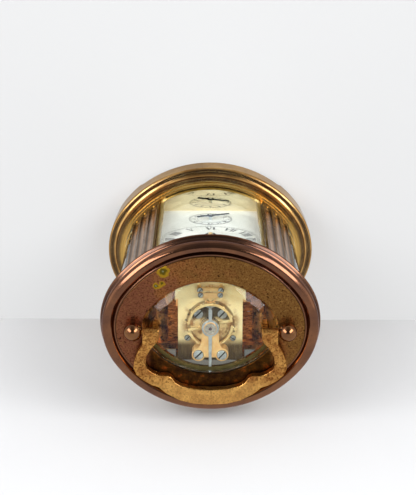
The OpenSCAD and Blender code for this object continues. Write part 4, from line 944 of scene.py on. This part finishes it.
def make_pilasters():
    """One fluted pilaster, front right, and its three mirror images."""
    span = LONG_HALF - FRONT_HALF
    start = math.radians(270 + FRONT_HALF)
    inner = FACE_R - PILASTER_DEPTH
    points = [(r * math.cos(start), LONG_Y + r * math.sin(start), z) for r, z in (
        (inner, FLOOR_Z), (FACE_R, FLOOR_Z), (FACE_R, CORNICE_Z), (inner, CORNICE_Z))]
    block = draw_line("front_right_pilaster_fluted", points + points[:1])
    bpy.ops.mesh.remove_doubles(threshold=WELD_GAP * MM)
    bpy.ops.mesh.edge_face_add()
    sweep(span, (0, LONG_Y, 0), 20)
    weld()
    close_up()
    out, foot, head = FACE_R + FLUTE_LIFT, FLOOR_Z + FLUTE_END, CORNICE_Z - FLUTE_END
    bar = ([(0, foot)] + arc(0, foot + FLUTE_R, FLUTE_R, -75, 0, 6)
           + arc(0, head - FLUTE_R, FLUTE_R, 0, 75, 6) + [(0, head)])
    for i in range(3):
        at = math.radians(270 + FRONT_HALF + (i + 0.5) * span / 3)
        place = (out * math.cos(at), LONG_Y + out * math.sin(at), 0)
        cut(block, turn_round("flute_cutter", bar, place, 44))
    apply_bevel(block, 0.12, 2, 40)
    smooth(block, 32)
    true_flats(block)
    fit(block, finishes["pilaster"], "case", "pilaster_brass", "front_right_pilaster")
    for node, x, y in (("front_left_pilaster", True, False), ("rear_right_pilaster", False, True),
                       ("rear_left_pilaster", True, True)):
        fit(mirrored(block, node + "_fluted", x, y), finishes["pilaster"], "case",
            "pilaster_brass", node)


def make_handle():
    """Bail handle with eased edges, and the ball posts it swings on."""
    dress("handle", "bail_handle_cast", 0.45, "handle", "handle_brass", 3, 38)
    pivot = POST_TOP - BALL_R
    seat = TOP_Z - pivot + 0.05
    foot = seat - STEM_LENGTH
    profile = [(0, foot), (1.2, foot), (1.2, seat), (2.4, seat), (2.5, seat + 0.1),
               (2.5, seat + 0.8), (2.35, seat + 1.0), (1.9, seat + 1.05), (NECK_R, seat + 1.2)]
    neck = math.degrees(math.asin(NECK_R / BALL_R))
    profile += arc(0, 0, BALL_R, -90 + neck, 90, 26)
    for name, x in (("right", POST_X), ("left", -POST_X)):
        post = turn_round(f"{name}_ball_post", profile, (x, 0, pivot), 48)
        smooth(post)
        fit(post, finishes["ball"], "case", "ball_brass", f"{name}_handle_post")


def stroke(a, b, width):
    """Adds a printed stroke between two points of the print, in edit mode."""
    a, b = Vector(a), Vector(b)
    middle = ((a + b) / 2).to_3d() * MM
    run = b - a
    bpy.ops.mesh.select_all(action="DESELECT")
    bpy.ops.mesh.primitive_plane_add(size=MM, location=middle)
    bpy.ops.transform.resize(value=(run.length, width, 1), center_override=middle)
    turn = math.atan2(run.y, run.x)
    bpy.ops.transform.rotate(value=-turn, orient_axis="Z", center_override=middle)


NUMERALS = ("XII", "I", "II", "III", "IIII", "V", "VI", "VII", "VIII", "IX", "X", "XI")
# Shares of a letter's height: gap between letters, strokes, half a serif and its thickness
LETTER_GAP = 0.1
THICK, THIN = 0.22, 0.08
SERIF_HALF, SERIF_THICK = 0.15, 0.05
# Width of each letter, then its strokes as from, to, and 1 for thick or 0 for thin
STROKES = {
    "I": (0.26, (((0, 0), (0, 1), 1),)),
    "V": (0.72, (((-0.3, 1), (0, 0), 1), ((0.3, 1), (0, 0), 0))),
    "X": (0.72, (((-0.3, 1), (0.3, 0), 1), ((0.3, 1), (-0.3, 0), 0))),
}


def roman(text, height):
    """A Roman numeral standing on the X axis, centred, as one flat piece."""
    clear_all()
    bpy.ops.mesh.primitive_plane_add(size=MM)
    piece = bpy.context.object
    bpy.ops.object.mode_set(mode="EDIT")
    bpy.ops.mesh.select_all(action="SELECT")
    bpy.ops.mesh.delete(type="VERT")
    total = sum(STROKES[letter][0] + LETTER_GAP for letter in text) - LETTER_GAP
    x = -total / 2
    for letter in text:
        width, strokes = STROKES[letter]
        x += width / 2
        for a, b, thick in strokes:
            stroke([(x + a[0]) * height, a[1] * height], [(x + b[0]) * height, b[1] * height],
                   (THICK if thick else THIN) * height)
            for end in (a, b):
                if letter != "V" or end[1] == 1:
                    at = [(x + end[0]) * height, end[1] * height]
                    half = SERIF_HALF * height
                    stroke([at[0] - half, at[1]], [at[0] + half, at[1]],
                           SERIF_THICK * height)
        x += width / 2 + LETTER_GAP
    close_up()
    return piece


def ring(radius, width):
    """A thin flat printed ring."""
    line = draw_line("print_ring", [(radius - width / 2, 0, 0), (radius + width / 2, 0, 0)])
    sweep(360, (0, 0, 0), 72)
    weld(0.001)
    close_up()
    return line


def place_print(piece, radius, angle):
    """Sets a flat piece out from the ring's centre, turned to stand on its radius."""
    turn = math.radians(angle)
    piece.location = Vector((math.sin(turn), math.cos(turn), 0)) * radius * MM
    piece.rotation_euler = (0, 0, -turn)
    set_down(piece)
    return piece


def figure(text, size):
    """A plain figure as a flat piece, centred on its own middle."""
    clear_all()
    bpy.ops.object.text_add()
    words = bpy.context.object
    words.data.body = text
    words.data.size = size * MM
    words.data.align_x = "CENTER"
    words.data.align_y = "CENTER"
    words.data.offset = 0.07 * MM
    bpy.ops.object.convert(target="MESH")
    return bpy.context.object


def stand_print(pieces, name, height):
    """Joins flat print, thickens it a little and stands it on the dial's face."""
    print_piece = join(pieces, name)
    open_up(print_piece)
    bpy.ops.mesh.select_all(action="SELECT")
    bpy.ops.mesh.extrude_region_move(TRANSFORM_OT_translate={"value": (0, 0, 0.03 * MM)})
    bpy.ops.mesh.select_all(action="SELECT")
    bpy.ops.mesh.normals_make_consistent(inside=False)
    close_up()
    print_piece.rotation_euler = (math.radians(90), 0, 0)
    print_piece.location = Vector((0, DIAL_Y, height)) * MM
    set_down(print_piece)
    fit(print_piece, finishes["print"], "case", "enamel")


def ring_mark(size, stretch, radius, angle):
    """An upright stroke of a ring, this many times as wide as a letter's."""
    line = roman("I", size)
    for v in line.data.vertices:
        v.co.x *= stretch
    return place_print(line, radius, angle)


def make_dial(sizes):
    dress("dial", "dial_plate_enamel", 0.15, "enamel", "enamel")
    parts = [place_print(roman(text, 3.6), 15.3, 30 * i) for i, text in enumerate(NUMERALS)]
    parts += [ring(20.9, 0.05), ring(19.9, 0.05)]
    parts += [ring_mark(1, 1.4 if i % 5 == 0 else 0.5, 19.9, 6 * i) for i in range(60)]
    stand_print(parts, "hour_ring_print", sizes.hands_height / MM)
    parts = [place_print(figure(str(i or 12), 2.6), 7.4, 30 * i) for i in range(12)]
    parts += [ring(9.5, 0.16), ring(8.9, 0.1), ring(5.9, 0.1)]
    parts += [ring_mark(0.6, 2, 8.9, 7.5 * i) for i in range(48)]
    stand_print(parts, "alarm_ring_print", sizes.alarm_height / MM)
    for node in ("hour_hand", "minute_hand", "alarm_hand"):
        dress(node, node + "_polished", 0.08, "blued steel", "blued_steel")


def slot_finish():
    """Gives each node of the frame that stays its finish, by the record's material slots."""
    by_slot = {"base_brass": "base brass", "polished_gilt": "gilt floor", "bronze": "bronze",
               "stained_bronze": "top plate", "pilaster_brass": "pilaster", "glass": "glass",
               "steel": "steel", "gilt_brass": "movement", "handle_brass": "handle",
               "ball_brass": "ball", "gilt": "cock", "enamel": "enamel",
               "blued_steel": "blued steel", "spring_steel": "spring steel",
               "bell_metal": "bell"}
    for title, node in frame["nodes"].items():
        slots = node.data.materials
        for i, old in enumerate(slots):
            name = old.name.split(".")[0] if old else ""
            slots[i] = finishes[by_slot.get(name, "movement")]
            if title.startswith("movement_") and name == "gilt":
                slots[i] = finishes["movement"]


def make_escapement():
    """Platform, balance, cocks, regulator and screws with eased edges."""
    for node, width, finish, slot in (
            ("platform", 0.15, "platform", "gilt"),
            ("balance_cock", 0.18, "cock", "gilt"),
            ("escape_cock", 0.1, "cock", "gilt"),
            ("balance", 0.05, "balance", "gilt"),
            ("regulator", 0.08, "steel", "steel")):
        dress(node, node + "_finished", width, finish, slot)
    make_screws()
    make_cap()


def make_screws():
    """Slotted screws of the platform and its cocks, each turned another way."""
    heads, slots = [], []
    for (x, y), z, head, shank, thick, length in PLATFORM_SCREWS:
        for side, turn in ((1, 45), (-1, 48 if x < 8 else -30)):
            base = PLATFORM_Z + z
            profile = [(0, -length), (shank - 0.1, -length), (shank, -length + 0.1), (shank, 0),
                       (head - 0.05, 0), (head, 0.05), (head, thick - 0.14),
                       (head - 0.12, thick - 0.02), (head * 0.5, thick + 0.02), (0, thick + 0.04)]
            screw = turn_round("platform_screw", profile, (side * x, y, base), 32)
            clear_all()
            bpy.ops.mesh.primitive_cube_add(
                size=MM, location=(side * x * MM, y * MM, (base + thick) * MM),
                rotation=(0, 0, math.radians(turn)), scale=(2.4 * head, 0.32 * head, thick * 1.3))
            cutter = bpy.context.object
            set_down(cutter)
            cut(screw, cutter)
            heads.append(screw)
            # painted shadow: a thin dark ring under each head
            heads.append(turn_round("platform_screw_shadow_ring", [
                (head - 0.1, 0.005), (head + 0.16, 0.005), (head + 0.16, 0.03),
                (head - 0.1, 0.03), (head - 0.1, 0.005)], (side * x, y, base), 32))
            slots.append((Vector((side * x, y)), math.radians(turn), base, head, thick))
    screws = join(heads, "platform_screws_slotted")
    smooth(screws, 30)
    fit(screws, finishes["steel"], "case", "steel", "platform_screws")
    screws.data.materials.append(finishes["dirt"])
    for face in screws.data.polygons:
        at = face.center / MM
        for place, turn, base, head, thick in slots:
            away = at.xy - place
            across = abs(away.y * math.cos(turn) - away.x * math.sin(turn))
            height = at.z - base
            in_slot = (away.length < head - 0.02 and across < 0.18 * head
                       and 0 < height < thick - 0.03)
            # dark finish in the slot, and on the painted shadow ring under the head
            if in_slot or (head - 0.02 < away.length < head + 0.2 and 0 < height < 0.04):
                face.material_index = 1


def make_cap():
    """Steel end cap on the balance cock, with its jewel."""
    place = (0, BALANCE_Y, CAP_Z)
    profile = [(0.62, 0), (2.35, 0), (2.4, 0.05), (2.4, 0.16), (2.34, 0.22), (2.1, 0.22),
               (2.0, 0.14), (0.85, 0.14), (0.62, 0.04), (0.62, 0)]
    cap = turn_round("end_cap_turned", profile, place, 48)
    smooth(cap, 30)
    fit(cap, finishes["cap"], "case", "steel")
    stone = turn_round("end_cap_jewel", [(0, 0), (0.6, 0), (0.6, 0.04)]
                       + arc(0, -0.2, 0.55, 30, 90, 6), place, 32)
    smooth(stone, 60)
    fit(stone, finishes["jewel"], "case", "steel")


def make_floor_and_door():
    dress("floor_plate", "floor_plate_polished", 0.2, "gilt floor", "polished_gilt")
    dress("rear_door", "rear_door_frame", 0.25, "base brass", "base_brass")
    dress("door_knob", "door_knob_turned", 0.15, "ball", "ball_brass")


# Camera, lamps, stage

# Camera, found by matching the ovals, balls, screws and corners of the photograph
CAMERA_AIM = Vector((1.062, -29.266, 110.0))
CAMERA_DISTANCE = 632.96
CAMERA_AZIMUTH = math.radians(-0.029)
CAMERA_RISE = math.radians(73.373)
CAMERA_ROLL = math.radians(180.273)
CAMERA_LENS = 113.02


def make_camera():
    away = Vector((math.cos(CAMERA_RISE) * math.sin(CAMERA_AZIMUTH),
                   -math.cos(CAMERA_RISE) * math.cos(CAMERA_AZIMUTH), math.sin(CAMERA_RISE)))
    side = (-away).cross(Vector((0, 0, 1))).normalized()
    up = side.cross(-away)
    c, s = math.cos(CAMERA_ROLL), math.sin(CAMERA_ROLL)
    turned = Matrix((side * c + up * s, up * c - side * s, away)).transposed()
    clear_all()
    bpy.ops.object.camera_add(location=(CAMERA_AIM + away * CAMERA_DISTANCE) * MM,
                              rotation=turned.to_euler())
    camera = bpy.context.object
    camera.data.lens = CAMERA_LENS
    camera.data.clip_start = 0.05
    camera.data.clip_end = 10
    bpy.context.scene.camera = camera


# Softboxes, in metres: where they aim, distance from there, width, height
SOFTBOX_AIM = Vector((0, 0, 0.12))
SOFTBOX_DISTANCE = 0.8
SOFTBOX_WIDTH = 0.34
SOFTBOX_HEIGHT = 0.7
SOFTBOXES = (("softbox_right", (0.70, -0.52, 0.60)), ("softbox_left", (-0.68, -0.54, 0.62)))


def add_softbox(name, towards, power):
    """A soft area lamp that faces the top of the clock."""
    direction = Vector(towards).normalized()
    clear_all()
    bpy.ops.object.light_add(type="AREA", location=SOFTBOX_AIM + direction * SOFTBOX_DISTANCE,
                             rotation=direction.to_track_quat("Z", "Y").to_euler())
    lamp = bpy.context.object
    lamp.name = name
    lamp.data.shape = "RECTANGLE"
    lamp.data.size, lamp.data.size_y = SOFTBOX_WIDTH, SOFTBOX_HEIGHT
    lamp.data.energy = power


# Paper of the floor and the wall: colour, glow, size and gaps to the clock, in metres
PAPER = tint(208, 209, 211)
PAPER_GLOW = (0.82, 0.83, 0.835, 1)
SHEET_SIZE = 3
FLOOR_GAP = 0.0002
WALL_GAP = 0.0004


def paper_finish(name, mirrored, through, share, vanishes=False):
    """Pale matt paper that glows a little for the eye, and shows in metal and through glass.

    mirrored and through are its brightness there, share is how much it glows for the camera.
    Paper that vanishes is only there for the camera, metal and glass, and from its front."""
    f = Finish(name)
    f.set(Roughness=0.9)
    f.colour(f.blend(f.noise(6, 2), PAPER, tuple(c * 0.97 for c in PAPER[:3]) + (1,)))
    rays = f.add("LightPath").outputs
    camera, past_glass = rays["Is Camera Ray"], rays["Is Transmission Ray"]
    mirror = f.math("MAXIMUM", rays["Is Glossy Ray"], past_glass)
    seen = f.blend(mirror, PAPER_GLOW, (mirrored,) * 3 + (1,))
    glow = f.add("Emission", {"Color": f.blend(past_glass, seen, (through,) * 3 + (1,))})
    shown = f.mix(f.math("MAXIMUM", mirror, f.times(camera, share)),
                  f.shader.outputs["BSDF"], glow.outputs["Emission"])
    if vanishes:
        solid = f.times(f.math("MAXIMUM", camera, mirror),
                        f.minus(1.0, f.add("NewGeometry").outputs["Backfacing"]))
        shown = f.mix(solid, f.add("BsdfTransparent").outputs["BSDF"], shown)
    f.show(shown)
    return f.material


def make_sheet(name, place, turn, paper):
    """A square of paper, tipped up by an angle in degrees."""
    clear_all()
    bpy.ops.mesh.primitive_plane_add(size=SHEET_SIZE, location=place,
                                     rotation=(math.radians(turn), 0, 0))
    sheet = bpy.context.object
    sheet.name = name
    sheet.data.materials.append(paper)
    return sheet


def make_stage():
    floor = make_sheet("studio_floor", (0, 0, -FLOOR_GAP), 0,
                       paper_finish("studio_floor_paper", 0.62, 0.35, 0.5))
    behind = high("base_plinth").y * MM + WALL_GAP
    wall = make_sheet("studio_backdrop", (0, behind, 0), 90,
                      paper_finish("studio_backdrop_paper", 0.85, 0.2, 0.12, vanishes=True))


def make_world(level):
    """A plain room, brighter to both sides than overhead and ahead of the clock."""
    world = bpy.data.worlds.new("studio_world")
    bpy.context.scene.world = world
    world.use_nodes = True
    nodes, links = world.node_tree.nodes, world.node_tree.links

    def run(kind, *values, **settings):
        node = nodes.new("ShaderNode" + kind)
        for key, value in settings.items():
            setattr(node, key, value)
        for socket, value in zip(node.inputs, values):
            if isinstance(value, (float, int)):
                socket.default_value = value
            else:
                links.new(value, socket)
        return node.outputs[0]

    axes = nodes.new("ShaderNodeSeparateXYZ")
    links.new(nodes.new("ShaderNodeTexCoord").outputs["Generated"], axes.inputs[0])
    side = run("MapRange", run("Math", axes.outputs["X"], operation="ABSOLUTE"), 0.22, 0.62,
               0.0, 1.0, interpolation_type="SMOOTHSTEP")
    above = run("MapRange", axes.outputs["Z"], 0.3, 0.8, 1.0, 0.62,
                interpolation_type="SMOOTHSTEP")
    shade = run("MapRange", side, 0.0, 1.0, 0.7, 3.1)
    room = nodes["Background"]
    room.inputs["Color"].default_value = (1, 0.98, 0.96, 1)
    links.new(run("Math", run("Math", shade, above, operation="MULTIPLY"), level,
                  operation="MULTIPLY"), room.inputs["Strength"])
    seen = nodes.new("ShaderNodeBackground")
    seen.inputs["Color"].default_value = (0.9, 0.91, 0.92, 1)
    mix = nodes.new("ShaderNodeMixShader")
    links.new(nodes.new("ShaderNodeLightPath").outputs["Is Camera Ray"], mix.inputs["Fac"])
    links.new(room.outputs["Background"], mix.inputs[1])
    links.new(seen.outputs["Background"], mix.inputs[2])
    links.new(mix.outputs["Shader"], nodes["World Output"].inputs["Surface"])


# The add-on's parts


class ClockSizes(bpy.types.PropertyGroup):
    """Sizes that a user may change."""
    hands_height: bpy.props.FloatProperty(
        name="Hands' height", description="Height of the hands' centre on the dial",
        default=0.069, unit="LENGTH")
    alarm_height: bpy.props.FloatProperty(
        name="Alarm dial's height", description="Height of the alarm dial's centre",
        default=0.0364, unit="LENGTH")


class ClockLooks(bpy.types.PropertyGroup):
    """Colours and light that a user may change."""
    brass: bpy.props.FloatVectorProperty(
        name="Brass", description="Colour of the base's clean brass", subtype="COLOR",
        default=tint(214, 168, 100)[:3], min=0, max=1)
    bronze: bpy.props.FloatVectorProperty(
        name="Bronze", description="Colour of the cornice's clean bronze", subtype="COLOR",
        default=tint(126, 80, 48)[:3], min=0, max=1)
    lamp_power: bpy.props.FloatProperty(
        name="Lamp power", description="Power of each softbox in watts", default=5.4, min=0)
    room_light: bpy.props.FloatProperty(
        name="Room light", description="Strength of the even light of the room",
        default=0.42, min=0)


class ClockStep:
    """What the clock's operators share."""
    bl_options = {"REGISTER", "UNDO"}


class CLOCK_OT_finishes(ClockStep, bpy.types.Operator):
    """Make every finish and give the frame's own nodes theirs"""
    bl_idname = "clock.finishes"
    bl_label = "Finishes"

    def execute(self, context):
        make_finishes(context.scene.clock_looks)
        slot_finish()
        return {"FINISHED"}


class CLOCK_OT_base(ClockStep, bpy.types.Operator):
    """Turn the moulded base with its four bracket feet"""
    bl_idname = "clock.base"
    bl_label = "Base"

    def execute(self, context):
        make_base()
        return {"FINISHED"}


class CLOCK_OT_cornice(ClockStep, bpy.types.Operator):
    """Turn the moulded cornice"""
    bl_idname = "clock.cornice"
    bl_label = "Cornice"

    def execute(self, context):
        make_cornice()
        return {"FINISHED"}


class CLOCK_OT_top(ClockStep, bpy.types.Operator):
    """Make the top plate and its bevelled glass"""
    bl_idname = "clock.top"
    bl_label = "Top plate and glass"

    def execute(self, context):
        make_top_plate()
        make_top_glass()
        return {"FINISHED"}


class CLOCK_OT_glasses(ClockStep, bpy.types.Operator):
    """Make the bowed, bevelled glasses of the case"""
    bl_idname = "clock.glasses"
    bl_label = "Case glasses"

    def execute(self, context):
        make_glasses()
        return {"FINISHED"}


class CLOCK_OT_pilasters(ClockStep, bpy.types.Operator):
    """Make the four fluted pilasters"""
    bl_idname = "clock.pilasters"
    bl_label = "Pilasters"

    def execute(self, context):
        make_pilasters()
        return {"FINISHED"}


class CLOCK_OT_handle(ClockStep, bpy.types.Operator):
    """Make the bail handle and its ball posts"""
    bl_idname = "clock.handle"
    bl_label = "Handle and posts"

    def execute(self, context):
        make_handle()
        return {"FINISHED"}


class CLOCK_OT_dial(ClockStep, bpy.types.Operator):
    """Make the enamelled dial, its print and the hands"""
    bl_idname = "clock.dial"
    bl_label = "Dial and hands"

    def execute(self, context):
        make_dial(context.scene.clock_sizes)
        return {"FINISHED"}


class CLOCK_OT_escapement(ClockStep, bpy.types.Operator):
    """Finish the platform escapement seen through the top window"""
    bl_idname = "clock.escapement"
    bl_label = "Platform escapement"

    def execute(self, context):
        make_escapement()
        return {"FINISHED"}


class CLOCK_OT_door(ClockStep, bpy.types.Operator):
    """Finish the floor plate, the rear door and its knob"""
    bl_idname = "clock.door"
    bl_label = "Floor plate and rear door"

    def execute(self, context):
        make_floor_and_door()
        return {"FINISHED"}


class CLOCK_OT_stage(ClockStep, bpy.types.Operator):
    """Set up the camera, lamps, world, floor and backdrop"""
    bl_idname = "clock.stage"
    bl_label = "Stage"

    def execute(self, context):
        looks = context.scene.clock_looks
        make_camera()
        for name, towards in SOFTBOXES:
            add_softbox(name, towards, looks.lamp_power)
        make_world(looks.room_light)
        make_stage()
        bpy.context.scene.view_settings.view_transform = "Standard"
        return {"FINISHED"}


STEPS = (CLOCK_OT_finishes, CLOCK_OT_base, CLOCK_OT_cornice, CLOCK_OT_top, CLOCK_OT_glasses,
         CLOCK_OT_pilasters, CLOCK_OT_handle, CLOCK_OT_dial, CLOCK_OT_escapement,
         CLOCK_OT_door, CLOCK_OT_stage)


class CLOCK_PT_panel(bpy.types.Panel):
    """Lists the clock's sizes, colours and steps"""
    bl_idname = "CLOCK_PT_panel"
    bl_label = "Oval carriage clock"
    bl_space_type = "VIEW_3D"
    bl_region_type = "UI"
    bl_category = "Clock"

    def draw(self, context):
        column = self.layout.column()
        for group in (context.scene.clock_sizes, context.scene.clock_looks):
            for key in group.__annotations__:
                column.prop(group, key)
        for step in STEPS:
            column.operator(step.bl_idname)


CLASSES = (ClockSizes, ClockLooks) + STEPS + (CLOCK_PT_panel,)


def register():
    for cls in CLASSES:
        bpy.utils.register_class(cls)
    bpy.types.Scene.clock_sizes = bpy.props.PointerProperty(type=ClockSizes)
    bpy.types.Scene.clock_looks = bpy.props.PointerProperty(type=ClockLooks)


def unregister():
    del bpy.types.Scene.clock_looks
    del bpy.types.Scene.clock_sizes
    for cls in reversed(CLASSES):
        bpy.utils.unregister_class(cls)


def main():
    register()
    for step in STEPS:
        group, name = step.bl_idname.split(".")
        getattr(getattr(bpy.ops, group), name)()


if __name__ == "__main__":
    main()
